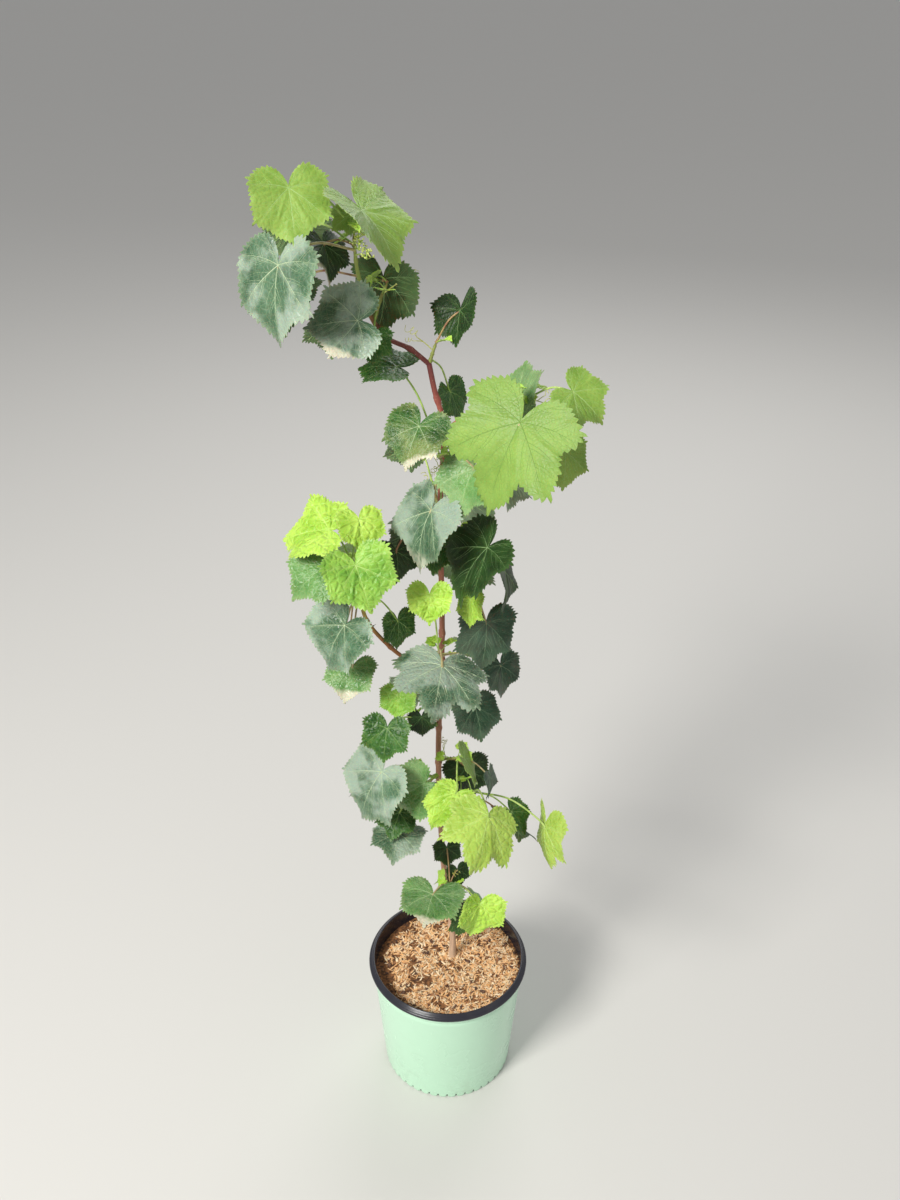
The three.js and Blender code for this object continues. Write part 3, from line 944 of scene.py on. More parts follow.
@dataclass
class VeinNet:
    """The veins of a leaf: seven from its joint, and pairs that branch off them."""

    bend: Bend
    detail: bool = True

    MAINS = ((0, 0.019), (50, 0.0165), (-50, 0.0165), (102, 0.0145), (-102, 0.0145),
             (143, 0.01), (-143, 0.01))
    FEW = 5
    STOP = 0.94
    SWING = 0.12
    STEPS = 12
    MAIN_TAPER = 0.3
    BRANCHES = (0.26, 0.41, 0.55, 0.68, 0.8)
    STAGGER = 0.035
    BRANCH_ANGLE = 44
    BRANCH_GIRTH = 0.0074
    BRANCH_TIP = 0.0022
    STRIDE = 0.06
    TURN_BACK = 2.9
    SHORTEST = 3
    KEEP_OFF = 2.5
    BAY_SIDE = 174

    def mains(self) -> list[Vein]:
        """Draws the veins that leave the joint.

        Returns:
            The veins, the midrib first.
        """
        share = np.linspace(0, 1, self.STEPS)
        made = []
        for angle, girth in self.MAINS:
            far = self.STOP * self.bend.reach(np.array([angle * (1 - self.SWING / 2)]))[0]
            turn = np.radians(angle * (1 + self.SWING / 2 - self.SWING * share))
            path = (far * share)[:, None] * np.stack([np.cos(turn), np.sin(turn)], -1)
            made.append(Vein(path, girth, girth * self.MAIN_TAPER))
        return made

    def room(self, angle: float, side: int) -> float:
        """Finds how far a branch may turn from its own vein before it meets the next vein's.

        Args:
            angle: The vein's angle from the tip.
            side: 1 for the side of greater angles, else -1.

        Returns:
            Degrees.
        """
        beyond = [side * (other - angle) for other, _ in self.MAINS if side * (other - angle) > 0]
        open_side = 2 * (self.BAY_SIDE - abs(angle))
        return min([*beyond, open_side]) / 2 - self.KEEP_OFF

    def branch(self, main: Vein, angle: float, share: float, side: int) -> Vein | None:
        """Grows one branch until it nears the edge or its neighbours.

        Args:
            main: The vein that it leaves.
            angle: That vein's angle from the tip.
            share: Where on that vein it starts.
            side: 1 for the side of greater angles, else -1.

        Returns:
            The branch, or None where there is no room for it.
        """
        knots = np.linspace(0, 1, len(main.path))
        here = np.array([np.interp(share, knots, axis) for axis in main.path.T])
        heading = math.radians(angle + side * self.BRANCH_ANGLE)
        room = self.room(angle, side)
        path = [here]
        while len(path) < self.STEPS:
            heading -= side * math.radians(self.TURN_BACK)
            here = here + self.STRIDE * np.array([math.cos(heading), math.sin(heading)])
            turn = math.degrees(math.atan2(here[1], here[0]))
            edge = self.STOP * self.bend.reach(np.array([turn]))[0]
            if math.hypot(*here) > edge or side * (turn - angle) > room:
                break
            path.append(here)
        if len(path) < self.SHORTEST:
            return None
        girth = self.BRANCH_GIRTH * (1.15 - 0.5 * share)
        return Vein(np.array(path), girth, self.BRANCH_TIP)

    def grown(self) -> list[Vein]:
        """Draws every vein of the leaf.

        Returns:
            The main veins, and then their branches.
        """
        mains = self.mains()
        if not self.detail:
            return mains[:self.FEW]
        branches = []
        for (angle, _), main in zip(self.MAINS, mains):
            for step, share in enumerate(self.BRANCHES):
                for side in (1, -1):
                    at = share + side * self.STAGGER * (-1) ** step
                    branches.append(self.branch(main, angle, at, side))
        return mains + [b for b in branches if b is not None]


@dataclass
class Leaf:
    """A leaf: a thin toothed blade that is bent, puckered between its veins, and torn if told.

    Its bends are drawn from the mass's own stream, and its teeth from its own seed.
    """

    place: Place
    stream: Stream
    seed: int

    THICKNESS = 0.35 * MM
    TIPS = (-180, -103, -50, 0, 50, 103, 180)
    TOOTH = 0.096
    TOOTH_FLOOR = 0.8 * MM
    TOOTH_HEIGHT = 0.46
    TOOTH_SPANS = (0.7, 1.35)
    TOOTH_SIZES = (0.55, 1.3)
    LEAST_TEETH = 3
    TOOTHLESS = (136, 168)
    FORWARD = ((0.0, 1.0, 0), (0.2, -0.3, 0), (0.5, 0.3, 1), (0.8, 0.78, 1))
    BACKWARD = ((0.0, 1.0, 0), (0.2, 0.78, 0), (0.5, 0.3, 0), (0.8, -0.3, 1))
    TIP_TOOTH = 1.8
    TEETH_FROM = 0.8
    RIM_FROM = 0.9
    EDGE_TURNS = 1441
    RINGS = (0.15, 0.32, 0.48, 0.63, 0.76, 0.87, 0.95, 1.0)
    FEW_RINGS = (0.3, 0.6, 0.85, 1.0)
    RUFFLE = 0.018
    RUFFLES = ((7, 1, 1.0), (12, -2, 0.6))
    PUCKER_WIDTH = 0.075
    PUCKER_TO = 0.85
    PUCKER_LOSS = 0.7
    GLOW_WIDTH = 0.022
    RAY_STEPS = 50
    FADE_FROM = (0.72, 1.15)
    TEAR_CELLS = 3
    VEIN_SIDES = 4
    VEIN_PROUD = (0.06 * MM, 0.32)
    VEIN_HUNG = (0.05 * MM, 0.8)
    SMALL = 12 * MM

    def __post_init__(self) -> None:
        """Settles the leaf's bends, axes, veins, edge and heights."""
        place = self.place
        self.bend = Bend.drawn(self.stream, place)
        self.half = place.width / 2 * MM
        self.joint = np.array([place.x, place.y, place.z]) * MM
        self.fine = Stream(self.seed)
        self.shade = self.fine.between(-1, 1)
        self.ruffle = self.fine.between(0, 2 * math.pi)
        self._set_axes(*np.radians([place.heading, place.droop, place.roll]))
        self.small = self.half < self.SMALL
        self.veins = VeinNet(self.bend, detail=not self.small).grown()
        self._set_edge()
        self._set_grid()

    def _set_axes(self, heading: float, droop: float, roll: float) -> None:
        """Works out the axes along the midrib, across it, and out of the upper face.

        Args:
            heading: The tip's heading, 0 to the front.
            droop: How far the tip hangs.
            roll: The turn about the midrib.
        """
        ahead = np.array([math.sin(heading), -math.cos(heading), 0])
        up = np.array([0, 0, 1])
        self.along = math.cos(droop) * ahead - math.sin(droop) * up
        level = math.sin(droop) * ahead + math.cos(droop) * up
        self.face = level * math.cos(roll) + np.cross(level, self.along) * math.sin(roll)
        self.across = np.cross(self.face, self.along)

    def _set_edge(self) -> None:
        """Draws the leaf's edge twice: smooth, and with teeth that lean to its tip."""
        turn = np.linspace(-180, 180, self.EDGE_TURNS)
        path = self.bend.reach(turn)[:, None] * np.stack(
            [np.cos(np.radians(turn)), np.sin(np.radians(turn))], -1)
        steps = np.linalg.norm(np.diff(path, axis=0), axis=1)
        walked = np.concatenate([[0.0], np.cumsum(steps)])
        tips, tall = self._tooth_tips(np.interp(self.TIPS, turn, walked))
        spans = np.diff(tips)
        forward = np.interp(tips[:-1], walked, turn) < 0
        rows = np.where(forward[:, None, None], self.FORWARD, self.BACKWARD)
        places = (tips[:-1, None] + spans[:, None] * rows[..., 0]).ravel()
        owner = np.arange(len(spans))[:, None] + rows[..., 2].astype(int)
        rise = (rows[..., 1] * tall[owner]).ravel() * self.TOOTH_HEIGHT
        self.angles = np.interp(places, walked, turn)
        rise *= 1 - smooth(np.abs(self.angles), *self.TOOTHLESS)
        tangents = unit(np.gradient(path, axis=0))
        outward = np.stack([np.interp(places, walked, tangents[:, 1]),
                            -np.interp(places, walked, tangents[:, 0])], -1)
        self.even = np.stack([np.interp(places, walked, axis) for axis in path.T], -1)
        self.toothed = self.even + unit(outward) * rise[:, None]

    def _tooth_tips(self, marks: np.ndarray) -> tuple[np.ndarray, np.ndarray]:
        """Places the teeth, one of them at each lobe's tip.

        Args:
            marks: The lobes' tips and both ends of the edge, as lengths along it.

        Returns:
            Each tooth's place along the edge, and its size, both over the half width.
        """
        pitch = self.TOOTH + self.TOOTH_FLOOR / self.half
        tips, tall = [], []
        for start, stop in zip(marks[:-1], marks[1:]):
            count = max(self.LEAST_TEETH, round((stop - start) / pitch))
            sizes = self.fine.several(count, *self.TOOTH_SPANS)
            tips.append(start + (np.cumsum(sizes) - sizes) * (stop - start) / sizes.sum())
            heights = pitch * self.fine.several(count, *self.TOOTH_SIZES)
            heights[0] = pitch * self.TIP_TOOTH
            tall.append(heights)
        return np.append(np.concatenate(tips), marks[-1]), np.append(np.concatenate(tall), 0.0)

    def _set_grid(self) -> None:
        """Works out the blade's heights on rings round the joint."""
        self.shares = np.array([0.0, *(self.FEW_RINGS if self.small else self.RINGS)])
        teeth = smooth(self.shares, self.TEETH_FROM, 1.0)[:, None, None]
        flat = self.even + (self.toothed - self.even) * teeth
        self.flat = flat * self.shares[:, None, None]
        u, v = self.flat[..., 0], self.flat[..., 1]
        out = u * u + v * v
        turn = np.arctan2(v, u)
        waves = sum(share * np.sin(count * turn + shift * self.ruffle)
                    for count, shift, share in self.RUFFLES)
        samples = np.vstack([vein.path for vein in self.veins])
        gaps = self.flat.reshape(-1, 1, 2) - samples[None]
        near = np.sqrt((gaps ** 2).sum(-1).min(1)).reshape(u.shape)
        pucker = self.place.tone.value.pucker * (1 - np.exp(-((near / self.PUCKER_WIDTH) ** 2)))
        pucker *= 1 - smooth(self.shares, self.PUCKER_TO, 1.0)[:, None] * self.PUCKER_LOSS
        self.heights = self.bend.lift(u, v) + self.RUFFLE * out * out * waves + pucker

    def lie(self, flat: np.ndarray) -> np.ndarray:
        """Reads the blade's height anywhere.

        Args:
            flat: Places in the leaf's plane, over the half width.

        Returns:
            Heights over the half width.
        """
        turn = np.degrees(np.arctan2(flat[:, 1], flat[:, 0]))
        count = len(self.angles)
        column = np.interp(turn, self.angles, np.arange(count))
        edge = np.interp(turn, self.angles, np.linalg.norm(self.even, axis=1))
        share = np.linalg.norm(flat, axis=1) / edge
        row = np.interp(share, self.shares, np.arange(len(self.shares)))
        left, low = column.astype(int), np.minimum(row.astype(int), len(self.shares) - 2)
        right = (left + 1) % count
        x, y = column - left, row - low
        lower = self.heights[low, left] * (1 - x) + self.heights[low, right] * x
        upper = self.heights[low + 1, left] * (1 - x) + self.heights[low + 1, right] * x
        return lower * (1 - y) + upper * y

    def placed(self, flat: np.ndarray, height: np.ndarray, off: np.ndarray | float) -> np.ndarray:
        """Puts points of the leaf in the frame.

        Args:
            flat: Places in the leaf's plane, over the half width.
            height: Heights over the half width.
            off: A further height in metres.

        Returns:
            Points in metres.
        """
        flat = np.asarray(flat) * self.half
        rise = np.asarray(height) * self.half + off
        return (self.joint + flat[..., :1] * self.along + flat[..., 1:] * self.across
                + rise[..., None] * self.face)

    def add_blade(self, draft: Draft) -> None:
        """Adds the blade's two faces and its edge to a draft.

        Args:
            draft: The draft of the mass's leaves.
        """
        rings, count = len(self.shares), len(self.angles)
        sides = [self.placed(self.flat[1:], self.heights[1:], side * self.THICKNESS / 2)
                 for side in (1, -1)]
        centres = [self.placed(self.flat[0, :1], self.heights[0, :1], side * self.THICKNESS / 2)
                   for side in (1, -1)]
        layer = (rings - 1) * count + 1
        points = np.vstack([sides[0].reshape(-1, 3), centres[0], sides[1].reshape(-1, 3), centres[1]])
        here = np.arange(count)
        after = (here + 1) % count
        start = np.arange(rings - 2)[:, None] * count
        cells = np.stack([start + here, start + here + count,
                          start + after + count, start + after], -1)
        torn = self._torn(rings - 2, count)
        upper = cells[~torn]
        middle = np.full(count, layer - 1)
        fan = np.stack([here, after, middle, middle], -1)
        rim = (rings - 2) * count
        edge = np.stack([rim + here, rim + here + layer, rim + after + layer, rim + after], -1)
        walls = [edge, *self._tear_walls(torn, cells, layer)]
        top = np.vstack([upper, fan])
        under = np.vstack([upper[:, ::-1], fan[:, [1, 0, 2, 3]]]) + layer
        tone = self.place.tone.value
        near_rim = smooth(self.shares[1:], self.RIM_FROM, 1.0)
        rim_mark = np.append(np.repeat(near_rim, count), 0.0)
        draft.add(points, [(top, tone.upper), (under, tone.under), (np.vstack(walls), tone.upper)],
                  rim=np.tile(rim_mark, 2), shade=self.shade, fade=np.tile(self._fading(), 2),
                  glow=np.tile(self._glow(), 2))

    def _glow(self) -> np.ndarray:
        """Says how near the blade's points lie to its main veins.

        Returns:
            From 0 to 1 for each vertex of one face, the joint last.
        """
        mains = self.veins[:len(VeinNet.MAINS)]
        steps = np.linspace(0, 1, self.RAY_STEPS)[:, None]
        rays = np.vstack([steps * vein.path[-1] for vein in mains])
        gaps = self.flat[1:].reshape(-1, 1, 2) - rays[None]
        near = np.sqrt((gaps ** 2).sum(-1).min(1))
        return np.append(np.exp(-((near / self.GLOW_WIDTH) ** 2)), 1.0)

    def _fading(self) -> np.ndarray:
        """Says how bleached the blade is towards the side that its place names.

        Returns:
            A share for each vertex of one face, the joint last.
        """
        if self.place.fade is None:
            return np.zeros(self.flat[1:, :, 0].size + 1)
        angle, strength = self.place.fade
        side = np.array([math.cos(math.radians(angle)), math.sin(math.radians(angle))])
        reach = (self.flat[1:] @ side).ravel()
        return np.append(strength * smooth(reach, *self.FADE_FROM), 0.0)

    def _torn(self, rings: int, count: int) -> np.ndarray:
        """Marks the cells that a tear takes out.

        Args:
            rings: Rows of cells.
            count: Cells in a row.

        Returns:
            True for each missing cell.
        """
        torn = np.zeros((rings, count), bool)
        if self.place.tear is not None:
            share, angle = self.place.tear
            row = int(np.searchsorted(self.shares[1:], share)) - 1
            first = int(np.searchsorted(self.angles, angle))
            torn[row, first:first + self.TEAR_CELLS] = True
        return torn

    @staticmethod
    def _tear_walls(torn: np.ndarray, cells: np.ndarray, layer: int) -> list[np.ndarray]:
        """Joins the two faces round a tear.

        Args:
            torn: True for each missing cell.
            cells: The corners of every cell.
            layer: The step from the upper face's vertices to the lower's.

        Returns:
            The walls' faces.
        """
        walls = []
        for row, column in np.argwhere(torn):
            around = ((0, -1), (1, 0), (0, 1), (-1, 0))
            for side, (down, on) in enumerate(around):
                if torn[row + down, (column + on) % torn.shape[1]]:
                    continue
                a, b = cells[row, column, side], cells[row, column, (side + 1) % 4]
                walls.append(np.array([[a, b, b + layer, a + layer]]))
        return walls

    def add_veins(self, draft: Draft) -> None:
        """Adds the veins, which stand a little over the upper face and more under the lower.

        Args:
            draft: The draft of the mass's veins.
        """
        finish = self.place.tone.value.vein
        turn = np.linspace(0, 2 * math.pi, self.VEIN_SIDES, endpoint=False)
        (proud_least, proud_share), (hung_least, hung_share) = self.VEIN_PROUD, self.VEIN_HUNG
        for vein in self.veins:
            girth = np.linspace(vein.root, vein.tip, len(vein.path))
            aside = unit(np.gradient(vein.path, axis=0))[:, ::-1] * (-1, 1)
            spread = girth[:, None] * np.cos(turn)[None]
            flat = vein.path[:, None] + aside[:, None] * spread[..., None]
            proud = self.THICKNESS / 2 + proud_least + proud_share * girth * self.half
            hung = self.THICKNESS / 2 + hung_least + hung_share * girth * self.half
            middle, reach = (proud - hung) / 2, (proud + hung) / 2
            off = middle[:, None] + reach[:, None] * np.sin(turn)[None]
            height = np.repeat(self.lie(vein.path)[:, None], self.VEIN_SIDES, axis=1)
            ends = self.placed(vein.path[[0, -1]], self.lie(vein.path[[0, -1]]), 0.0)
            points = np.vstack([self.placed(flat, height, off).reshape(-1, 3), ends])
            faces = closed_rings(len(vein.path), self.VEIN_SIDES)
            draft.add(points, [(faces, finish)], shade=self.shade)


@dataclass
class Mass(Assembly):
    """A mass of foliage: one twig with stalked leaves, small new leaves and tendrils."""

    name: str
    seed: int
    twig: Sequence[Point]
    leaves: Sequence[Place]
    buds: Point | None = None
    sprigs: int = 3
    tendrils: int = 1

    TWIG_GIRTH = (2.0 * MM, 1.15 * MM)
    TWIG_PLACES = 12
    FIRST_PLACE = 3
    ARCH_PLACE = 0.55
    ARCH_HEIGHT = 0.16
    TWIG_STEPS = 34
    TWIG_SIDES = 10
    TWIG_JOINTS = 3
    JOINT_SWELL = 0.3
    JOINT_TIGHTNESS = 7
    TIP_FROM = 0.9
    TIP_LOSS = 0.45
    STALK_GIRTH = 0.72 * MM
    STALK_GROWTH = 0.009
    STALK_STEP = 3.2 * MM
    STALK_SIDES = 7
    LEAST_STEPS = 8
    FOOT_SWELL = (0.7, 2.5 * MM)
    TOP_SWELL = (0.28, 3 * MM)
    SMALL_STALK = 0.6
    SUNK_AHEAD = 0.06
    SUNK_DEPTH = 0.3 * MM
    JOINT_DEPTH = 0.25 * MM
    SPRIG_GAP = 0.16
    SPRIG_AWAY = (7, 13)
    SPRIG_RISE = (4, 10)
    SPRIG_WIDTH = (10, 19)
    SPRIG_TURN = (-30, 30)
    SPRIG_DROOP = (-35, 40)
    SPRIG_ROLL = (-25, 25)
    SPRIG_FOLD = (0.25, 0.6)
    LEAF_SEEDS = 100
    SPRIG_SEED = 50
    FINE_SEED = 5000
    TENDRIL_PLACE = (0.4, 0.95)
    BUD_FOOT = 6.3
    BUNCH_STALK = 0.7 * MM
    SECOND_BUNCH = (6.5, -1.5, -7.0)
    SECOND_STALK = 0.6 * MM
    SECOND_SINK = 3

    def __post_init__(self) -> None:
        """Settles the twig and its leaves."""
        self.line = Line(np.array(self.twig, float) * MM)
        stream = Stream(self.seed)
        self.grown = [Leaf(place, stream, self.seed * self.LEAF_SEEDS + i)
                      for i, place in enumerate(self.leaves)]
        self.fine = Stream(self.seed + self.FINE_SEED)

    def spring(self, joint: np.ndarray) -> np.ndarray:
        """Finds the place on the twig where a leaf's stalk springs.

        Args:
            joint: The leaf's joint.

        Returns:
            The place.
        """
        places = self.line.at(np.linspace(0, 1, self.TWIG_PLACES + 1))[self.FIRST_PLACE:]
        above = np.maximum(0, places[:, 2] - joint[2])
        return places[np.argmin(np.linalg.norm(places - joint, axis=1) + above)]

    def stalk(self, joint: np.ndarray, end: np.ndarray, root: np.ndarray | None = None) -> Line:
        """Draws a stalk that arches up from the twig.

        Args:
            joint: The leaf's joint.
            end: The stalk's sunk end.
            root: Where it springs, or None to find the place.

        Returns:
            The stalk's line.
        """
        root = self.spring(joint) if root is None else root
        arch = root + (joint - root) * self.ARCH_PLACE
        arch[2] += self.ARCH_HEIGHT * np.linalg.norm(joint - root)
        return Line([root, arch, joint, end])

    def add_stalk(self, draft: Draft, line: Line, girth: float, finish: Finish) -> None:
        """Adds a stalk that swells at both ends.

        Args:
            draft: The draft of the mass's wood.
            line: The stalk's line.
            girth: Its radius in the middle.
            finish: Its finish.
        """
        share = np.linspace(0, 1, max(self.LEAST_STEPS, int(line.length / self.STALK_STEP)))
        foot, foot_width = self.FOOT_SWELL
        top, top_width = self.TOP_SWELL
        swell = 1 + foot * np.exp(-share * line.length / foot_width)
        swell += top * np.exp(-(1 - share) * line.length / top_width)
        draft.add_tube(line.at(share), girth * swell, self.STALK_SIDES, finish)

    def add_leaf(self, leaf: Leaf, blades: Draft, veins: Draft, wood: Draft,
                 root: np.ndarray | None = None) -> None:
        """Adds a leaf with its stalk.

        Args:
            leaf: The leaf.
            blades: The draft of blades.
            veins: The draft of veins.
            wood: The draft of stalks and twigs.
            root: Where its stalk springs, or None to find the place.
        """
        leaf.add_blade(blades)
        leaf.add_veins(veins)
        ahead = leaf.along * self.SUNK_AHEAD * leaf.half
        sunk = leaf.joint + ahead - leaf.face * self.SUNK_DEPTH
        joint = leaf.joint - leaf.face * self.JOINT_DEPTH
        girth = self.STALK_GIRTH + self.STALK_GROWTH * leaf.half
        girth *= self.SMALL_STALK if leaf.small else 1.0
        self.add_stalk(wood, self.stalk(joint, sunk, root), girth, leaf.place.tone.value.stalk)

    def sprig(self, order: int) -> tuple[Leaf, np.ndarray]:
        """Grows one small new leaf near the twig's end.

        Args:
            order: Its number on the twig.

        Returns:
            The leaf, and where its stalk springs.
        """
        fine = self.fine
        root = self.line.at(np.array([1.0 - self.SPRIG_GAP * order]))[0]
        heading = fine.between(0, 360)
        lean = math.radians(heading)
        away = fine.between(*self.SPRIG_AWAY) * MM
        rise = fine.between(*self.SPRIG_RISE) * MM
        joint = root + np.array([away * math.sin(lean), -away * math.cos(lean), rise])
        width = fine.between(*self.SPRIG_WIDTH)
        heading += fine.between(*self.SPRIG_TURN)
        droop = fine.between(*self.SPRIG_DROOP)
        roll = fine.between(*self.SPRIG_ROLL)
        fold = fine.between(*self.SPRIG_FOLD)
        place = Place(*joint / MM, width, heading, droop, roll, Tone.CRISP, fold=fold)
        return Leaf(place, fine, self.seed * self.LEAF_SEEDS + self.SPRIG_SEED + order), root

    def add_twig(self, draft: Draft) -> None:
        """Adds the twig, with a swelling at each joint and a tip that closes.

        Args:
            draft: The draft of the mass's wood.
        """
        share = np.linspace(0, 1, self.TWIG_STEPS)
        girth = np.interp(share, (0, 1), self.TWIG_GIRTH)
        from_joint = (share * self.TWIG_JOINTS % 1 - 0.5) * self.JOINT_TIGHTNESS
        girth *= 1 + self.JOINT_SWELL * np.exp(-from_joint ** 2)
        girth *= 1 - self.TIP_LOSS * smooth(share, self.TIP_FROM, 1.0)
        draft.add_tube(self.line.at(share), girth, self.TWIG_SIDES, Wood.TWIG.value)

    def build(self) -> list[Draft]:
        """Shapes the mass.

        Returns:
            The drafts of its blades, its veins, and its twig, stalks, tendrils and buds.
        """
        blades = Draft(self.name + "_blades", Slot.LEAF, (self.name,))
        veins = Draft(self.name + "_veins", Slot.LEAF, (self.name,))
        wood = Draft(self.name + "_twigs", Slot.LEAF, (self.name,))
        self.add_twig(wood)
        for leaf in self.grown:
            self.add_leaf(leaf, blades, veins, wood)
        for order in range(self.sprigs):
            leaf, root = self.sprig(order)
            self.add_leaf(leaf, blades, veins, wood, root)
        for order in range(self.tendrils):
            root = self.line.at(np.array([self.fine.between(*self.TENDRIL_PLACE)]))[0]
            Tendril(root, self.fine).add(wood)
        if self.buds is not None:
            middle = np.array(self.buds, float) * MM
            foot = middle - np.array([0, 0, self.BUD_FOOT * MM])
            self.add_stalk(wood, self.stalk(foot, middle), self.BUNCH_STALK, PALE_STALK)
            BudCluster(foot, self.fine).add(wood)
            beside = foot + np.array(self.SECOND_BUNCH) * MM
            line = self.stalk(beside, beside + unit(middle - foot) * self.SECOND_SINK * MM)
            self.add_stalk(wood, line, self.SECOND_STALK, PALE_STALK)
            BudCluster(beside, self.fine, branches=8, length=9 * MM, width=5 * MM).add(wood)
        drafts = [blades, veins, wood]
        for draft in drafts:
            draft.shape()
        return drafts


@dataclass
class Tendril:
    """A thin forked tendril that runs out, sags and ends in coils."""

    root: np.ndarray
    stream: Stream

    LENGTH = (26 * MM, 48 * MM)
    GIRTH = (0.62 * MM, 0.2 * MM)
    COIL = (2.2 * MM, 4.2 * MM)
    COIL_FROM = 0.45
    TURNS = (1.6, 2.8)
    SAG = 0.25
    FIRST_COIL = 0.35
    TIGHTENING = 1.2
    ASKEW = (0.1, 0.2, 1.0)
    CLIMB = (0.5, 0.15)
    STEPS = 60
    SIDES = 6
    FORK_LENGTH = 0.45
    FORK_GIRTH = 0.75
    FORK_TURN = 0.7

    def arm(self, start: np.ndarray, heading: np.ndarray, length: float, thin: float) -> np.ndarray:
        """Walks one arm.

        Args:
            start: Where it starts.
            heading: The direction in which it leaves.
            length: How far it runs out.
            thin: How wide its coils are.

        Returns:
            The arm's points.
        """
        share = np.linspace(0, 1, self.STEPS)[:, None]
        aside = unit(np.cross(heading, self.ASKEW))
        over = np.cross(aside, heading)
        wound = smooth(share, self.COIL_FROM, 1.0)
        turn = 2 * math.pi * self.stream.between(*self.TURNS) * wound ** self.TIGHTENING
        sag = np.array([0, 0, self.SAG * length])
        run = start + heading * length * share - sag * share ** 2
        ring = aside * np.sin(turn) + over * (1 - np.cos(turn))
        return run + ring * thin * (self.FIRST_COIL + (1 - self.FIRST_COIL) * np.sqrt(wound))

    def add(self, draft: Draft) -> None:
        """Adds the tendril to a draft.

        Args:
            draft: The draft of the mass's wood.
        """
        heading = self.stream.facing()
        steepness, least = self.CLIMB
        heading[2] = abs(heading[2]) * steepness + least
        heading = unit(heading)
        length = self.stream.between(*self.LENGTH)
        path = self.arm(self.root, heading, length, self.stream.between(*self.COIL))
        girth = np.linspace(*self.GIRTH, self.STEPS)
        draft.add_tube(path, girth, self.SIDES, Wood.TENDRIL.value)
        fork = path[self.STEPS // 3]
        branch = unit(heading + self.FORK_TURN * self.stream.facing())
        path = self.arm(fork, branch, length * self.FORK_LENGTH, self.COIL[0])
        draft.add_tube(path, girth * self.FORK_GIRTH, self.SIDES, Wood.TENDRIL.value)


@dataclass
class BudCluster:
    """A young bunch of flower buds: tiny round buds in umbels on branches round one axis."""

    foot: np.ndarray
    stream: Stream
    branches: int = 13
    umbel: int = 4
    length: float = 16 * MM
    width: float = 7 * MM
    spray: float = 2.3 * MM
    bud: float = 0.85 * MM

    GOLDEN = math.radians(137.5)
    LEVELS = 3
    ROUND = 6
    BRANCH_GIRTH = 0.25 * MM
    THREAD_GIRTH = 0.16 * MM
    THREAD_STEPS = 3
    THREAD_SIDES = 4
    SPINE_GIRTH = (0.7 * MM, 0.3 * MM)
    SPINE_STEPS = 5
    NARROWING = 0.6
    REACHES = (0.6, 1.0)
    RISE = 0.4
    BUD_SIZES = (0.75, 1.2)

    def ball(self) -> tuple[np.ndarray, np.ndarray]:
        """Shapes one round bud at the origin.

        Returns:
            Its vertices, and its faces as rows of four.
        """
        height = np.linspace(-1, 1, self.LEVELS + 2)[1:-1]
        turn = np.linspace(0, 2 * math.pi, self.ROUND, endpoint=False)
        flat = np.sqrt(1 - height ** 2)[:, None]
        rings = np.stack(np.broadcast_arrays(
            flat * np.cos(turn), flat * np.sin(turn), height[:, None]), -1)
        points = np.vstack([rings.reshape(-1, 3), (0, 0, -1), (0, 0, 1)])
        return points, closed_rings(len(height), len(turn))

    def add(self, draft: Draft) -> None:
        """Adds the bunch to a draft.

        Args:
            draft: The draft of the mass's wood.
        """
        ball, faces = self.ball()
        steps, sides = self.THREAD_STEPS, self.THREAD_SIDES
        branch, thread = np.full(steps, self.BRANCH_GIRTH), np.full(steps, self.THREAD_GIRTH)
        for order in range(self.branches):
            share = order / (self.branches - 1)
            turn = order * self.GOLDEN
            out = self.width * (1 - self.NARROWING * share) * self.stream.between(*self.REACHES)
            base = self.foot + np.array([0, 0, self.length * share])
            fork = base + out * np.array([math.cos(turn), math.sin(turn), self.RISE])
            draft.add_tube(np.linspace(base, fork, steps), branch, sides, PALE_STALK)
            for _ in range(self.umbel):
                tip = fork + self.stream.facing() * self.spray
                size = self.bud * self.stream.between(*self.BUD_SIZES)
                draft.add(ball * size + tip, [(faces, Wood.FLOWER.value)])
                draft.add_tube(np.linspace(fork, tip, steps), thread, sides, PALE_STALK)
        top = self.foot + np.array([0, 0, self.length])
        spine = np.linspace(self.foot, top, self.SPINE_STEPS)
        girth = np.linspace(*self.SPINE_GIRTH, self.SPINE_STEPS)
        draft.add_tube(spine, girth, self.ROUND, PALE_STALK)


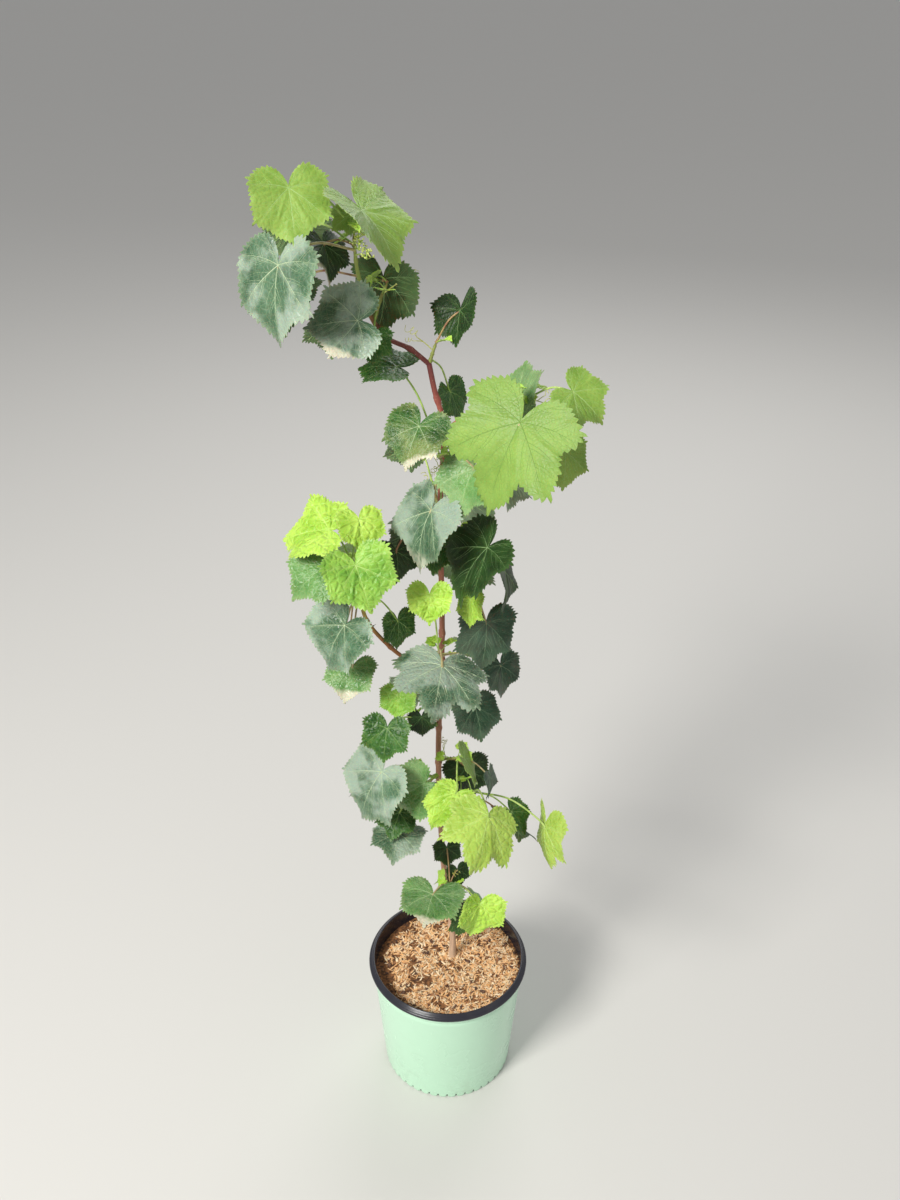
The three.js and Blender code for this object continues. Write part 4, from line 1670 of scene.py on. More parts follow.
@dataclass
class Limb(Assembly):
    """The stem or a bough: a tapering limb with nodes, buds and the relief of bark."""

    node: str
    path: Sequence[Point]
    girth: tuple[float, float]
    finish: Finish
    slot: Slot
    joints: Sequence[float] = ()
    flare: float = 0.0
    sides: int = 24
    step: float = 1.6 * MM
    relief: float = 0.09
    bury: float = 0.0

    FLARE_HEIGHT = 22 * MM
    NODE_SWELL = 0.3
    NODE_WIDTH = 3.4 * MM
    BUD_SIZE = (1.5 * MM, 2.6 * MM)
    BUD_RISE = 1.5 * MM
    BUD_LEAN = 0.45
    BUD_TURN = 0.6
    BUD_TILT = 0.2
    JUST_ABOVE = 0.01
    FINE_GRAIN = (3.1, 38, 0, 0.65)
    BROAD_GRAIN = (1.2, 11, 7, 0.5)
    TIP = 2 * MM
    TIP_LEAST = 0.04

    def grain(self, angle: float, height: float) -> float:
        """Reads the bark's ridges at a place on the limb.

        Args:
            angle: The place's direction from the middle line.
            height: Its height in the frame.

        Returns:
            How far the bark stands out, from about -1 to 1.
        """
        total = 0.0
        for across, along, shift, share in (self.FINE_GRAIN, self.BROAD_GRAIN):
            at = Vector((across * math.cos(angle), across * math.sin(angle), height * along + shift))
            total += share * noise.noise(at)
        return total

    def radii(self, line: Line, share: np.ndarray) -> np.ndarray:
        """Works out the limb's radius all over.

        Args:
            line: Its middle line.
            share: The shares of the line's length at which it is read.

        Returns:
            A radius for each share and side.
        """
        points = line.at(share)
        base = np.interp(share, (0, 1), np.array(self.girth) * MM)
        base += self.flare * MM * np.exp(-(points[:, 2] - points[0, 2]) / self.FLARE_HEIGHT)
        for joint in self.joints:
            gap = (share * line.length - joint * MM) / self.NODE_WIDTH
            base *= 1 + self.NODE_SWELL * np.exp(-gap ** 2)
        turn = np.linspace(0, 2 * math.pi, self.sides, endpoint=False)
        ridges = np.array([[self.grain(angle, z) for angle in turn] for z in points[:, 2]])
        return base[:, None] * (1 + self.relief * ridges)

    def add_buds(self, draft: Draft, line: Line) -> None:
        """Adds a bud on alternate sides at each joint.

        Args:
            draft: The limb's draft.
            line: Its middle line.
        """
        ball, faces = BudCluster(np.zeros(3), Stream(1)).ball()
        wide, long = self.BUD_SIZE
        for order, joint in enumerate(self.joints):
            share = joint * MM / line.length
            if not 0 < share < 1:
                continue
            here, above = line.at(np.array([share, min(1, share + self.JUST_ABOVE)]))
            up = unit(above - here)
            turn = order * math.pi + self.BUD_TURN
            aside = unit(np.cross(up, (math.sin(turn), math.cos(turn), self.BUD_TILT)))
            lean = unit(up + self.BUD_LEAN * aside)
            across = np.cross(lean, aside)
            axes = np.stack([across * wide, np.cross(lean, across) * wide, lean * long])
            out = np.interp(share, (0, 1), self.girth) * MM
            seat = here + aside * out + up * self.BUD_RISE
            draft.add(ball @ axes + seat, [(faces, Wood.BUD.value)])

    def build(self) -> list[Draft]:
        """Shapes the limb.

        Returns:
            Its one draft.
        """
        knots = np.array(self.path, float) * MM
        knots[0, 2] -= self.bury * MM
        line = Line(knots)
        share = np.linspace(0, 1, int(line.length / self.step))
        radii = self.radii(line, share)
        closing = np.sqrt(np.clip((1 - share) * line.length / self.TIP, self.TIP_LEAST, 1))
        draft = Draft(self.node + "_bark", self.slot, (self.node,))
        draft.add_tube(line.at(share), radii * closing[:, None], self.sides, self.finish)
        self.add_buds(draft, line)
        draft.shape()
        return [draft]


def turned(profile: Sequence[tuple[float, float]], sides: int) -> tuple[np.ndarray, np.ndarray]:
    """Turns a profile that starts and ends on the Z axis.

    Args:
        profile: Radius and height of each point, the first and the last on the axis.
        sides: How many steps a full turn has.

    Returns:
        The vertices, and the faces as rows of four.
    """
    turn = np.linspace(0, 2 * math.pi, sides, endpoint=False)
    rows = np.array(profile[1:-1], float)
    rings = np.stack(np.broadcast_arrays(
        rows[:, :1] * np.cos(turn), rows[:, :1] * np.sin(turn), rows[:, 1:]), -1)
    ends = [(0, 0, profile[0][1]), (0, 0, profile[-1][1])]
    return np.vstack([rings.reshape(-1, 3), ends]), closed_rings(len(rows), sides)


def arc(centre: tuple[float, float], radius: float, start: float, stop: float,
        count: int) -> list[tuple[float, float]]:
    """Lists points of a round stretch of a profile, turned in degrees from straight out."""
    turns = np.radians(np.linspace(start, stop, count))
    return [(centre[0] + radius * math.cos(t), centre[1] + radius * math.sin(t)) for t in turns]


@dataclass
class Pot(Assembly):
    """The round tapered pot: a pale outer wall with a scalloped foot, a dark lining and rim."""

    height: float
    rim: float
    sides: int = 440
    scallops: int = 44
    scallop_height: float = 6.2 * MM
    scallop_depth: float = 2.2 * MM
    skin: float = 0.9 * MM
    wall: float = 2.0 * MM

    SHOULDER_SHARE = 0.95
    FOOT_SHARE = 0.82
    RIM_HEIGHT = 9 * MM
    STEP_DROP = 8 * MM
    FLOOR = 4 * MM
    HOLLOW = 1.5 * MM
    BASE = ((-8, 1.5), (-6, 0.0), (-1.6, 0.0), (-0.4, 0.4))
    LEVELS = (0.8, 1.4, 2.0, 2.6, 3.2, 3.8, 4.4, 5.0, 5.6, 6.2, 7, 9, 12, 40, 80, 120, 150)
    STEP = ((0.0, -1.2), (-0.35, -0.7), (-0.35, -0.2), (0.75, 0.25), (0.85, 0.7), (0.85, 5.0))
    BELOW_RIM = 0.2 * MM
    SKIN_LEVELS = (0.1, 0.05)
    OUTER = 3 * MM
    SKIN_SHARE = 0.6
    FOOT_ROUND = 1.2 * MM
    SCALLOP_EDGE = 0.9 * MM
    BEAD = (2.6 * MM, 2.5 * MM, -100, 68, 12)
    CREST = (5.9 * MM, 1.4 * MM, 52, 180, 8)
    SLOPE = ((-2.6, 5.4), (-3.3, 5.9))
    BORE = ((-7.2, 3), (-7.1, -2))
    BORE_LEVELS = (0.14, 0.08)
    LINING_FLOOR = (2.6 * MM, 3.2 * MM)
    LINING_SHARE = 0.8
    TUCK = 0.1 * MM
    WALL_FINISH = PlasticFinish("pot_mint", ink("#C6EDD0"), ink("#9DA98E"), 0.26)
    LINING_FINISH = PlasticFinish("pot_charcoal", ink("#292931"), ink("#7A7168"), 0.24)

    def __post_init__(self) -> None:
        """Works out the pot's other sizes from its rim and height."""
        self.shoulder = self.SHOULDER_SHARE * self.rim
        self.foot = self.FOOT_SHARE * self.rim
        self.under = self.height - self.RIM_HEIGHT

    def outside(self, z: np.ndarray | float) -> np.ndarray | float:
        """Gives the wall's outer radius at a height."""
        return self.foot + (self.shoulder - self.foot) * z / self.under

    def body(self) -> tuple[np.ndarray, np.ndarray]:
        """Shapes the outer wall, with the scallops of its foot and the step under its rim.

        Returns:
            The vertices, and the faces as rows of four.
        """
        step = self.under - self.STEP_DROP
        wall = [(self.outside(z * MM), z * MM) for z in self.LEVELS]
        wall += [(self.outside(step) + r * MM, step + z * MM) for r, z in self.STEP]
        top = self.under - self.BELOW_RIM
        inner = [(self.outside(z) - self.skin, z) for z in (top, *self.SKIN_LEVELS, self.FLOOR)]
        base = [(0, self.HOLLOW), *((self.foot + r * MM, z * MM) for r, z in self.BASE)]
        profile = [*base, *wall, (self.outside(top), top), *inner, (0, self.FLOOR)]
        points, faces = turned(profile, self.sides)
        points[:, :2] *= self.scalloped(points)[:, None]
        return points, faces

    def scalloped(self, points: np.ndarray) -> np.ndarray:
        """Says how far the foot's scallops draw the wall in.

        Args:
            points: The wall's vertices.

        Returns:
            A scale from the pot's axis for each vertex.
        """
        turn = np.arctan2(points[:, 1], points[:, 0])
        radius = np.hypot(points[:, 0], points[:, 1])
        z = points[:, 2]
        outer = radius > self.outside(z) - self.OUTER
        aside = 2 * np.abs((turn * self.scallops / (2 * math.pi)) % 1 - 0.5)
        round_edge = self.scallop_height * (1 - np.sqrt(np.clip(1 - aside ** 2, 0, 1)))
        depth = self.scallop_depth * smooth(round_edge - z, 0.0, self.SCALLOP_EDGE)
        outer &= radius > self.outside(z) - self.SKIN_SHARE * self.skin - self.FOOT_ROUND * (z < MM)
        return np.where(outer, 1 - depth / np.maximum(radius, MM), 1)

    def lining(self) -> tuple[np.ndarray, np.ndarray]:
        """Shapes the dark rim, which rolls out over the wall, and the lining under it.

        Returns:
            The vertices, and the faces as rows of four.
        """
        edge, z = self.rim, self.under
        radius, rise, *turns = self.BEAD
        bead = arc((edge - radius, z + rise), radius, *turns)
        away, radius, *turns = self.CREST
        crest = arc((edge - away, self.height - radius), radius, *turns)
        slope = [(edge + r * MM, z + h * MM) for r, h in self.SLOPE]
        low, high = self.LINING_FLOOR
        bore = [(edge + r * MM, z + h * MM) for r, h in self.BORE]
        bore += [(self.outside(h) - self.wall, h) for h in (*self.BORE_LEVELS, high)]
        hidden = [(self.outside(h) - self.LINING_SHARE * self.skin, h)
                  for h in (low, *self.BORE_LEVELS[::-1])]
        tucked = (self.outside(z) - self.SKIN_SHARE * self.skin, z + self.TUCK)
        profile = [(0, low), *hidden, tucked, *bead, *slope, *crest, *bore, (0, high)]
        return turned(profile, self.sides)

    def build(self) -> list[Draft]:
        """Shapes the pot.

        Returns:
            The drafts of its wall and its lining.
        """
        drafts = []
        shapes = (("pot_wall", self.body(), self.WALL_FINISH),
                  ("pot_rim_and_lining", self.lining(), self.LINING_FINISH))
        for name, (points, faces), finish in shapes:
            draft = Draft(name, Slot.POT, ("pot",))
            draft.add(points, [(faces, finish)])
            draft.shape()
            drafts.append(draft)
        return drafts


@dataclass
class Mulch(Assembly):
    """The potting mix: an uneven dark bed under a layer of husks and bits of bark."""

    level: float
    pot: Pot
    husks: int = 6600
    bits: int = 110
    seed: int = 91
    rings: int = 44
    sectors: int = 150

    BED_FINISH = MixFinish("mix_bed", ink("#3C2416"), ink("#A06C40"))
    HUSK_FINISHES = (
        (0.34, MixFinish("husk_straw", ink("#EECA96"), ink("#FBE8C8"))),
        (0.84, MixFinish("husk_tan", ink("#E2A768"), ink("#F6CB98"))),
        (1.0, MixFinish("husk_brown", ink("#8A5A38"), ink("#B8845A"))),
    )
    BIT_FINISH = MixFinish("bark_bit", ink("#46302A"), ink("#7A5A46"))
    HUSK_SIZE = (2.8 * MM, 5.4 * MM)
    HUSK_SLIMNESS = (0.14, 0.22)
    HUSK_HEIGHT = 0.4 * MM
    HUSK_RING = ((-1, 0, 0.25), (-0.5, -1, 0), (0.45, -1, 0),
                 (1, 0, 0.25), (0.45, 1, 0), (-0.5, 1, 0))
    HUSK_POLES = ((0, 0, -0.75), (0, 0, 0.7))
    BIT_SIZE = (1.6 * MM, 3.6 * MM)
    BIT_WIDTH = (0.5, 0.9)
    BIT_HEIGHT = 0.45
    BIT_LUMPS = 0.22
    DEPTH = 30 * MM
    CLEAR = 0.2 * MM
    KEPT_OFF = 3 * MM
    SAG = 2.6 * MM
    SAG_TO_LEFT = 22 * MM
    SAG_WIDTH = 24 * MM
    ROUGHNESS = 1.6 * MM
    BROAD_LUMPS = (42, 3.0)
    FINE_LUMPS = (130, 9.0)
    FINE_SHARE = 0.5
    PATCHES = (60, 5.0)
    INNERMOST = 0.02
    BARE_SHARE = 0.9
    BARE_TO_LEFT = 3.2
    BARE_EASE = (0.0, 0.4)
    BRINK_FROM = (0.86, 0.99)
    BRINK_BARE = (0.55, 6)
    TILT = 0.5
    LIFT = 1.5 * MM

    def surface(self, x: np.ndarray, y: np.ndarray) -> np.ndarray:
        """Gives the bed's height.

        Args:
            x: Places across.
            y: Places back.

        Returns:
            Heights in metres.
        """
        out = np.hypot(x, y)
        brink = self.pot.outside(self.level) - self.pot.wall
        depth = self.SAG - self.SAG_TO_LEFT * x
        sag = smooth(out, brink - self.SAG_WIDTH, brink) * depth
        rough = [self.lumps(*place) for place in zip(np.ravel(x), np.ravel(y))]
        return self.level + np.reshape(rough, np.shape(x)) * self.ROUGHNESS - sag

    def lumps(self, x: float, y: float) -> float:
        """Reads the bed's unevenness at one place, from about -1 to 1."""
        fine = self._cloud(x, y, *self.FINE_LUMPS)
        return self._cloud(x, y, *self.BROAD_LUMPS) + self.FINE_SHARE * fine

    @staticmethod
    def _cloud(x: float, y: float, scale: float, layer: float) -> float:
        """Reads one layer of a smooth random pattern at a place on the bed."""
        return noise.noise(Vector((x * scale, y * scale, layer)))

    def bed(self) -> Draft:
        """Shapes the bed, closed by a skirt and a floor inside the pot.

        Returns:
            The bed's draft.
        """
        brink = self.pot.outside(self.level) - self.pot.wall - self.CLEAR
        turn = np.linspace(0, 2 * math.pi, self.sectors, endpoint=False)
        radii = np.linspace(self.INNERMOST, 1, self.rings)[:, None] * brink
        x, y = radii * np.cos(turn), radii * np.sin(turn)
        top = np.stack([x, y, self.surface(x, y)], -1)[::-1]
        deep = self.level - self.DEPTH
        low = self.pot.outside(deep) - self.pot.wall - self.CLEAR
        skirt = np.stack([low * np.cos(turn), low * np.sin(turn), np.full(len(turn), deep)], -1)
        centre = self.surface(np.zeros(1), np.zeros(1))[0]
        points = np.vstack([skirt, top.reshape(-1, 3), (0, 0, deep), (0, 0, centre)])
        draft = Draft("mulch_bed", Slot.MIX, ("soil",))
        draft.add(points, [(closed_rings(self.rings + 1, self.sectors), self.BED_FINISH)])
        return draft

    def bareness(self, x: float, y: float, edge: float) -> float:
        """Says how likely a place is to lie bare: in patches, and along the left of the wall.

        Args:
            x: The place across.
            y: The place back.
            edge: Its distance from the middle, over the greatest.

        Returns:
            A chance from 0 to 1.
        """
        patch = self._cloud(x, y, *self.PATCHES)
        share, to_left = self.BRINK_BARE
        side = smooth(edge, *self.BRINK_FROM) * (share - to_left * x)
        bare = smooth(patch - self.BARE_TO_LEFT * x, *self.BARE_EASE)
        return float(self.BARE_SHARE * bare + side)

    def scatter(self, stream: Stream, brink: float) -> tuple[np.ndarray, np.ndarray, float]:
        """Picks a place and a tilted frame for one bit of mulch.

        Args:
            stream: The stream to draw from.
            brink: How far out a bit may lie.

        Returns:
            Its place, its three axes as rows, and how bare the place should lie.
        """
        out = brink * math.sqrt(stream.between(0, 1))
        turn = stream.between(0, 2 * math.pi)
        x, y = out * math.cos(turn), out * math.sin(turn)
        bare = self.bareness(x, y, out / brink)
        z = self.surface(np.array([x]), np.array([y]))[0]
        heading = stream.between(0, 2 * math.pi)
        tilt = stream.between(-self.TILT, self.TILT)
        along = np.array([math.cos(heading) * math.cos(tilt),
                          math.sin(heading) * math.cos(tilt), math.sin(tilt)])
        lean = unit(np.append(stream.several(2, -self.TILT, self.TILT), 1.0))
        across = unit(np.cross(lean, along))
        lift = stream.between(0.0, self.LIFT)
        axes = np.stack([along, across, np.cross(along, across)])
        return np.array([x, y, z + lift]), axes, bare

    def cover(self) -> Draft:
        """Strews the husks and the bits of bark.

        Returns:
            Their draft.
        """
        stream = Stream(self.seed)
        brink = self.pot.outside(self.level) - self.pot.wall - self.KEPT_OFF
        draft = Draft("mulch_husks", Slot.MIX)
        boat = np.array([*self.HUSK_RING, *self.HUSK_POLES], float)
        faces = closed_rings(1, len(self.HUSK_RING))
        for _ in range(self.husks):
            place, axes, bare = self.scatter(stream, brink)
            long = stream.between(*self.HUSK_SIZE)
            size = np.array([long, long * stream.between(*self.HUSK_SLIMNESS), self.HUSK_HEIGHT])
            pick = stream.between(0, 1)
            if stream.between(0, 1) < bare:
                continue
            finish = next(made for share, made in self.HUSK_FINISHES if pick <= share)
            draft.add((boat * size) @ axes + place, [(faces, finish)])
        ball, sides = BudCluster(np.zeros(3), stream).ball()
        for _ in range(self.bits):
            place, axes, _ = self.scatter(stream, brink)
            long = stream.between(*self.BIT_SIZE)
            size = long * np.array([1.0, stream.between(*self.BIT_WIDTH), self.BIT_HEIGHT])
            lumps = 1 + stream.several(len(ball), -self.BIT_LUMPS, self.BIT_LUMPS)[:, None]
            draft.add((ball * size * lumps) @ axes + place, [(sides, self.BIT_FINISH)])
        return draft

    def build(self) -> list[Draft]:
        """Shapes the mulch.

        Returns:
            The drafts of the bed and of what covers it.
        """
        drafts = [self.bed(), self.cover()]
        for draft in drafts:
            draft.shape()
        return drafts


@dataclass(frozen=True)
class Lamp:
    """A soft square lamp that looks at a point."""

    name: str
    place: Point
    size: float
    power: float
    colour: Colour = (1, 1, 1)

    def hang(self, target: Vector) -> None:
        """Puts the lamp in the scene.

        Args:
            target: The point that it looks at.
        """
        data = bpy.data.lights.new(self.name, "AREA")
        data.size = self.size
        data.energy = self.power
        data.color = self.colour
        lamp = bpy.data.objects.new(self.name, data)
        lamp.location = self.place
        lamp.rotation_mode = "QUATERNION"
        lamp.rotation_quaternion = (target - lamp.location).to_track_quat("-Z", "Y")
        bpy.context.scene.collection.objects.link(lamp)


@dataclass
class Studio:
    """The pale floor, the soft lamps and the camera."""

    centre: Vector
    floor_size: float = 40.0
    camera_place: Point = (0.0003, -1.0339, 1.3312)
    camera_pitch: float = 31.35
    camera_roll: float = 0.0054
    lens: float = 35.0
    sensor: float = 36.0

    LAMPS = (
        Lamp("key", (-1.6, -1.9, 2.6), 0.9, 104, (1.0, 0.985, 0.95)),
        Lamp("fill", (2.2, -1.6, 1.7), 2.4, 3, (0.96, 0.98, 1.0)),
        Lamp("back", (0.6, 2.2, 2.4), 1.8, 26),
    )
    FLOOR = FloorFinish("studio_floor", ink("#D6D4CF"))
    SKY = (0.97, 0.98, 1.0)
    SKY_STRENGTH = 0.42

    def build(self) -> None:
        """Makes the floor, the lamps, the sky and the camera."""
        half = self.floor_size / 2
        mesh = bpy.data.meshes.new("studio_floor")
        corners = [(-half, -half, 0), (half, -half, 0), (half, half, 0), (-half, half, 0)]
        mesh.from_pydata(corners, [], [(0, 1, 2, 3)])
        floor = bpy.data.objects.new("studio_floor", mesh)
        floor.data.materials.append(self.FLOOR.material())
        bpy.context.scene.collection.objects.link(floor)
        for lamp in self.LAMPS:
            lamp.hang(self.centre)
        world = bpy.data.worlds.new("studio_sky")
        world.use_nodes = True
        sky = world.node_tree.nodes["Background"]
        sky.inputs["Color"].default_value = (*self.SKY, 1.0)
        sky.inputs["Strength"].default_value = self.SKY_STRENGTH
        bpy.context.scene.world = world
        bpy.context.scene.view_settings.view_transform = "Standard"
        self.set_camera()

    def set_camera(self) -> None:
        """Sets the camera where the photograph was taken from."""
        data = bpy.data.cameras.new("camera")
        data.lens = self.lens
        data.sensor_width = self.sensor
        data.clip_end = 2 * self.floor_size
        camera = bpy.data.objects.new("camera", data)
        pitch = Matrix.Rotation(math.radians(90 - self.camera_pitch), 4, "X")
        roll = Matrix.Rotation(self.camera_roll, 4, "Z")
        camera.matrix_world = Matrix.Translation(self.camera_place) @ pitch @ roll
        bpy.context.scene.collection.objects.link(camera)
        bpy.context.scene.camera = camera


STEM_PATH = (
    (5.5, 14, 155.3), (6, 14, 190), (-6, 14, 320), (-12, 14, 480), (-8, 13, 645),
    (-10, 14, 810), (-7, 14, 890), (-16, 14, 928), (-21, 14, 954),
)
STEM_NODES = (60, 131, 187, 237, 269, 323, 373, 420, 433, 467, 500, 545, 597, 637, 687, 725, 765)
LEADER_PATH = ((-20, 14, 951), (-38, 11, 967), (-60, 6, 980), (-74, 2, 1003), (-81, 0, 1028))
SIDE_PATH = ((-9, 13, 588), (-35, -4, 620), (-62, -20, 656), (-84, -30, 694), (-90, -34, 722))
RIGHT_PATH = ((-8, 14, 880), (8, 6, 898), (30, -8, 912), (48, -20, 922))
STEM_RADII = (3.6, 2.6)
BOUGH_RADII = (2.4, 1.9)
BOUGH_SIDES = 18


def limbs() -> list[Limb]:
    """Lists the stem and the boughs.

    Returns:
        The stem, and then the boughs.
    """
    boughs = (("leader", LEADER_PATH, Wood.LEADER, (24, 62, 93)),
              ("left_bough", SIDE_PATH, Wood.SIDE, (42, 92, 138)),
              ("right_bough", RIGHT_PATH, Wood.RIGHT, (30, 58)))
    stem = Limb("stem", STEM_PATH, STEM_RADII, Wood.STEM.value, Slot.BARK, STEM_NODES,
                flare=1.6, bury=3.0)
    return [stem] + [
        Limb(name, path, BOUGH_RADII, wood.value, Slot.SHOOT, joints, sides=BOUGH_SIDES)
        for name, path, wood, joints in boughs]


def masses() -> list[Mass]:
    """Lists the masses of foliage, from the crown down to the foot.

    Returns:
        The masses, each with its seed, its twig and its leaves.
    """
    young, crisp, bright, lime = Tone.YOUNG, Tone.CRISP, Tone.BRIGHT, Tone.LIME
    light, fresh, sage, blue = Tone.LIGHT, Tone.FRESH, Tone.SAGE, Tone.BLUE
    deep, teal, mottled = Tone.DEEP, Tone.TEAL, Tone.MOTTLED
    return [
        Mass("foliage_crown_left", 11, ((-80, 0, 1024), (-84, -2, 1050), (-85, -4, 1080)), (
            Place(-134, -40, 1121, 64, 16, 57, 0, light, 0.05, 0.1),
            Place(-145, -52, 1061, 88, -28, 65, -13, sage, 0.05, 0.12, ahead=0.2),
            Place(-112, -4, 1066, 46, 36, 50, 20, deep, fade=(-40, 0.7)),
            Place(-76, -21, 1098, 86, 63, 36, 4, light, 0.08, 0.28, ahead=0),
            Place(-87, -8, 1093, 28, -60, 30, 50, light),
            Place(-138, 34, 1070, 62, 200, 45, 0, fresh),
            Place(-150, 30, 1014, 64, 210, 50, 0, deep),
        ), buds=(-80, -14, 1070)),
        Mass("foliage_crown_low", 12, ((-70, 3, 997), (-64, 12, 1014), (-58, 20, 1026)), (
            Place(-82, -34, 1008, 66, -83, 0, 50, sage, 0.06, fade=(62, 0.9)),
            Place(-62, 24, 1028, 66, 150, 82, 0, deep),
            Place(-70, -12, 986, 34, -5, 45, 0, fresh),
            Place(-106, 52, 980, 62, 215, 45, 0, fresh),
        )),
        Mass("foliage_crown_right", 25, ((-20.5, 14, 951), (-17, 16, 962), (-14, 20, 970)), (
            Place(9, 24, 999, 53, -14, 50, -34, deep, 0.08, 0.42, ahead=0.02),
            Place(-1, 50, 910, 44, 60, 60, 0, fresh),
        ), sprigs=1),
        Mass("foliage_upper_right", 13, ((46, -19, 921), (58, -24, 928), (72, -24, 934)), (
            Place(61, -84, 934, 112, -51, 53, 18, lime, 0.3, 0.12, ahead=0.24),
            Place(110, -42, 946, 54, 72, 32, -30, light),
            Place(106, -36, 886, 50, 15, 62, 20, light),
            Place(62, -24, 920, 70, 178, -50, 58, blue),
            Place(66, 30, 868, 76, 150, 50, 0, blue),
        )),
        Mass("foliage_upper_front", 14, ((-9, 14, 842), (-8, 0, 856), (-10, -14, 870)), (
            Place(-29, -34, 909, 60, -34, 42, 8, mottled, 0.05, 0.1, ahead=0.05, fade=(25, 0.85)),
            Place(22, -50, 874, 66, -42, 48, 0, blue),
            Place(-18, -44, 827, 82, -58, 56, 2, sage, 0.08, 0.1, ahead=0.2, fade=(0, 0.5)),
            Place(-10, -12, 780, 50, -20, 45, 0, fresh),
            Place(-50, 8, 950, 56, -110, -2, 12, fresh),
        )),
        Mass("foliage_upper_side", 15, ((-10, 14, 752), (8, 6, 766), (24, -4, 776)), (
            Place(36, -62, 797, 82, -76, 42, 10, deep, 0.1, 0.2, ahead=0.25),
            Place(56, 10, 730, 62, 40, 62, 40, deep),
            Place(22, -24, 718, 42, -25, 62, -30, crisp),
            Place(38, -4, 676, 70, 2, 58, 30, teal),
            Place(8, 56, 712, 74, 160, 50, 0, fresh),
        )),
        Mass("foliage_upper_back", 16, ((-10, 14, 792), (-14, 28, 804), (-18, 42, 814)), (
            Place(-56, 26, 744, 50, 30, 68, 0, deep),
            Place(-34, 60, 850, 60, 200, 50, 0, fresh),
            Place(6, 62, 788, 76, 160, 50, 0, blue),
            Place(-30, 72, 744, 70, 200, 50, 0, deep),
            Place(48, 62, 818, 68, 130, 50, 0, sage),
        )),
        Mass("foliage_left", 17, ((-89.5, -33, 718), (-92, -36, 742), (-96, -38, 766)), (
            Place(-115, -46, 806, 66, -106, 4, 27, crisp, 0.2, 0.2, ahead=0.4),
            Place(-87, -42, 816, 44, 20, 40, 0, crisp),
            Place(-121, -62, 776, 58, -58, 24, 28, blue),
            Place(-89, -76, 785, 66, 32, 52, -16, bright, 0.08, 0.35),
            Place(-104, -56, 705, 76, -70, 49, 27, sage, 0.04, tear=(0.4, 10)),
            Place(-102, -20, 630, 52, -20, 36, 0, blue, fade=(5, 0.8)),
            Place(-54, -14, 684, 42, 20, 64, 25, fresh),
            Place(-122, 12, 750, 64, 200, 45, 0, light),
            Place(-94, 34, 716, 62, 180, 50, 0, fresh),
            Place(-108, 20, 640, 56, 205, 50, 0, deep),
        )),
        Mass("foliage_middle", 18, ((-8, 13, 622), (-10, -4, 636), (-11, -20, 650)), (
            Place(-7, -79, 674, 90, -5, 5, 11, sage, 0.25, -0.22, ahead=0.07, tear=(0.52, 14)),
            Place(-20, -44, 733, 43, 0, 45, 0, crisp, 0, 0.2, ahead=0),
            Place(56, 22, 604, 50, 30, 60, 15, teal),
        )),
        Mass("foliage_middle_low", 26, ((-11, 14, 528), (-22, 4, 540), (-30, -4, 550)), (
            Place(-55, -14, 590, 38, -10, 62, 0, bright),
            Place(-30, -14, 560, 30, 10, 60, 0, deep),
            Place(-66, -42, 566, 50, -14, 50, 0, fresh),
            Place(28, -8, 570, 52, 25, 45, 0, teal),
        )),
        Mass("foliage_middle_back", 19, ((-10, 14, 575), (-9, 30, 584), (-8, 44, 592)), (
            Place(-34, 66, 552, 66, 200, 50, 0, blue),
            Place(10, 72, 530, 66, 165, 50, 0, fresh),
            Place(30, 66, 594, 60, 140, 50, 0, light),
        )),
        Mass("foliage_low_left", 20, ((-11, 14, 452), (-22, 2, 464), (-34, -8, 476)), (
            Place(-73, -44, 508, 88, -71, 52, 21, sage, 0.1, 0.14, ahead=0.26),
            Place(-27, -46, 494, 60, -80, 32, 60, blue, 0.12, 0.3, ahead=0.37),
            Place(-56, -22, 430, 46, -20, 25, 0, fresh),
            Place(-57, -30, 404, 58, -8, -8, 0, sage, 0.04, 0.15, ahead=0.04),
            Place(-84, 26, 436, 60, -150, 50, 0, deep),
        )),
        Mass("foliage_low_right", 21, ((-9, 14, 424), (8, 2, 438), (26, -8, 450)), (
            Place(42, -101, 497, 76, -9, 15, 27, young, 0.24, -0.28, ahead=0.27),
            Place(107, -60, 444, 74, -19, 63, -54, young, 0.2, -0.15, ahead=0),
            Place(71, -34, 442, 40, 60, 30, 0, fresh),
            Place(74, 20, 380, 60, 130, 50, 0, deep),
        )),
        Mass("foliage_low_middle", 27, ((-11, 14, 478), (0, 4, 488), (10, -2, 494)), (
            Place(8, -71, 501, 53, -42, 20, 1, crisp, 0.12, 0, ahead=0.45),
            Place(17, -25, 510, 48, 90, 49, 3, light, 0.1, 0.2, ahead=0.21),
            Place(45, -30, 490, 38, 40, 68, 36, teal),
            Place(20, 26, 456, 56, 20, 58, 0, deep),
        )),
        Mass("foliage_low_back", 22, ((-10, 14, 392), (-9, 32, 400), (-8, 46, 404)), (
            Place(-50, 62, 380, 70, 205, 50, 0, fresh),
            Place(40, 62, 344, 70, 150, 50, 0, sage),
            Place(-6, 80, 366, 66, 180, 50, 0, blue),
        )),
        Mass("foliage_foot", 23, ((-5, 14, 286), (-2, 0, 298), (2, -12, 308)), (
            Place(-18, -46, 325, 70, -12, -8, 0, blue, 0, 0.1, ahead=0, fade=(4, 0.8)),
            Place(37, -52, 317, 54, -16, 60, 38, crisp, 0.08, 0.55, ahead=0.3),
            Place(18, -42, 288, 40, 0, 64, 35, fresh),
            Place(-2, 6, 350, 32, 10, 50, 0, deep),
            Place(11, 0, 320, 28, 20, 50, 0, deep),
            Place(-14, 40, 238, 52, 195, 40, 0, fresh),
            Place(40, 30, 232, 50, 120, 40, 0, blue),
        )),
    ]


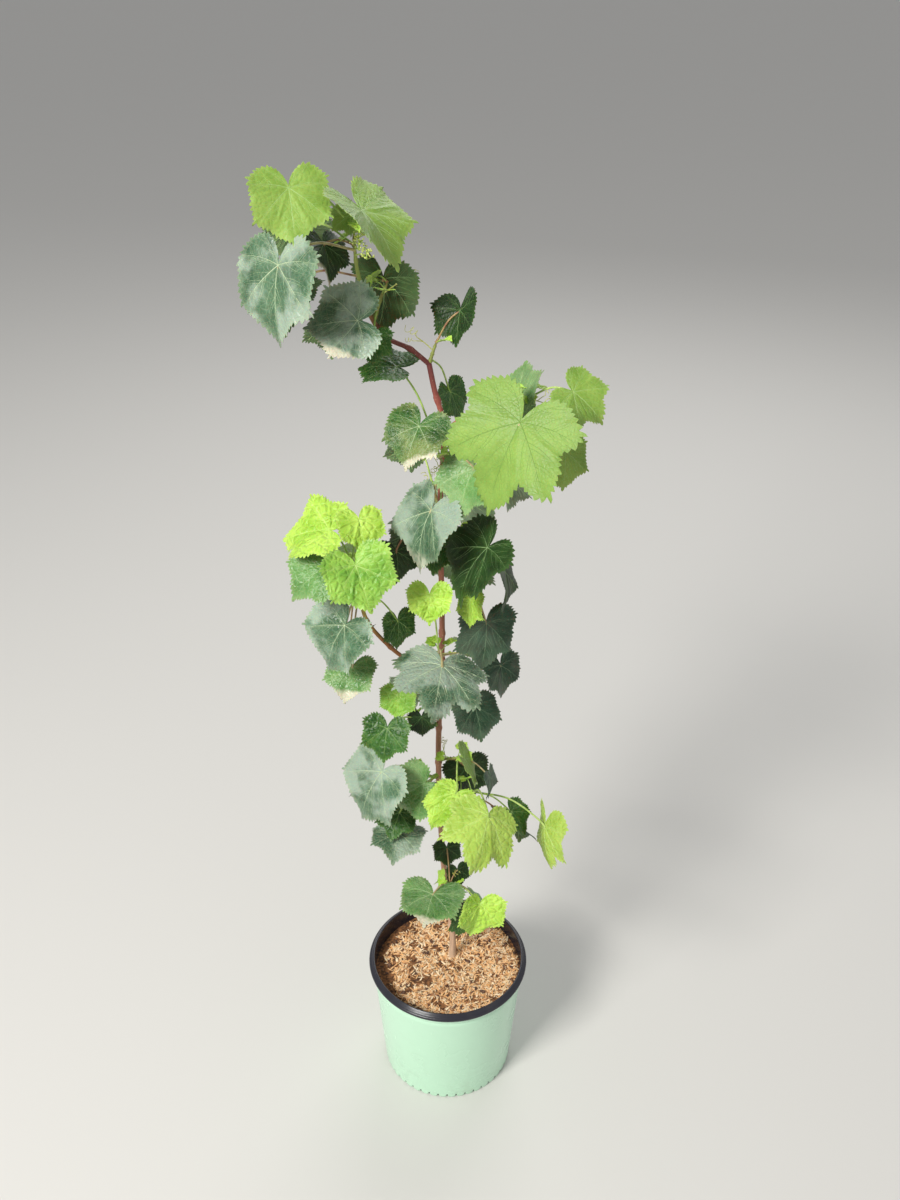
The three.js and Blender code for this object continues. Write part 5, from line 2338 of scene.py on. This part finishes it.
def write_sizes() -> None:
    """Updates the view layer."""
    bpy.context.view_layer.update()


def main() -> None:
    """Builds and dresses every part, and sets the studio."""
    logging.basicConfig(level=logging.INFO, format="%(name)s: %(message)s")
    low, high = CAD_BOX
    Studio(centre=(low + high) / 2).build()
    pot_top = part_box("pot")[1]
    pot = Pot(height=pot_top.z, rim=pot_top.x)
    mulch = Mulch(level=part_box("soil")[1].z, pot=pot)
    for assembly in (pot, mulch, *limbs(), *masses()):
        assembly.dress(assembly.build())
    write_sizes()


if __name__ == "__main__":
    main()
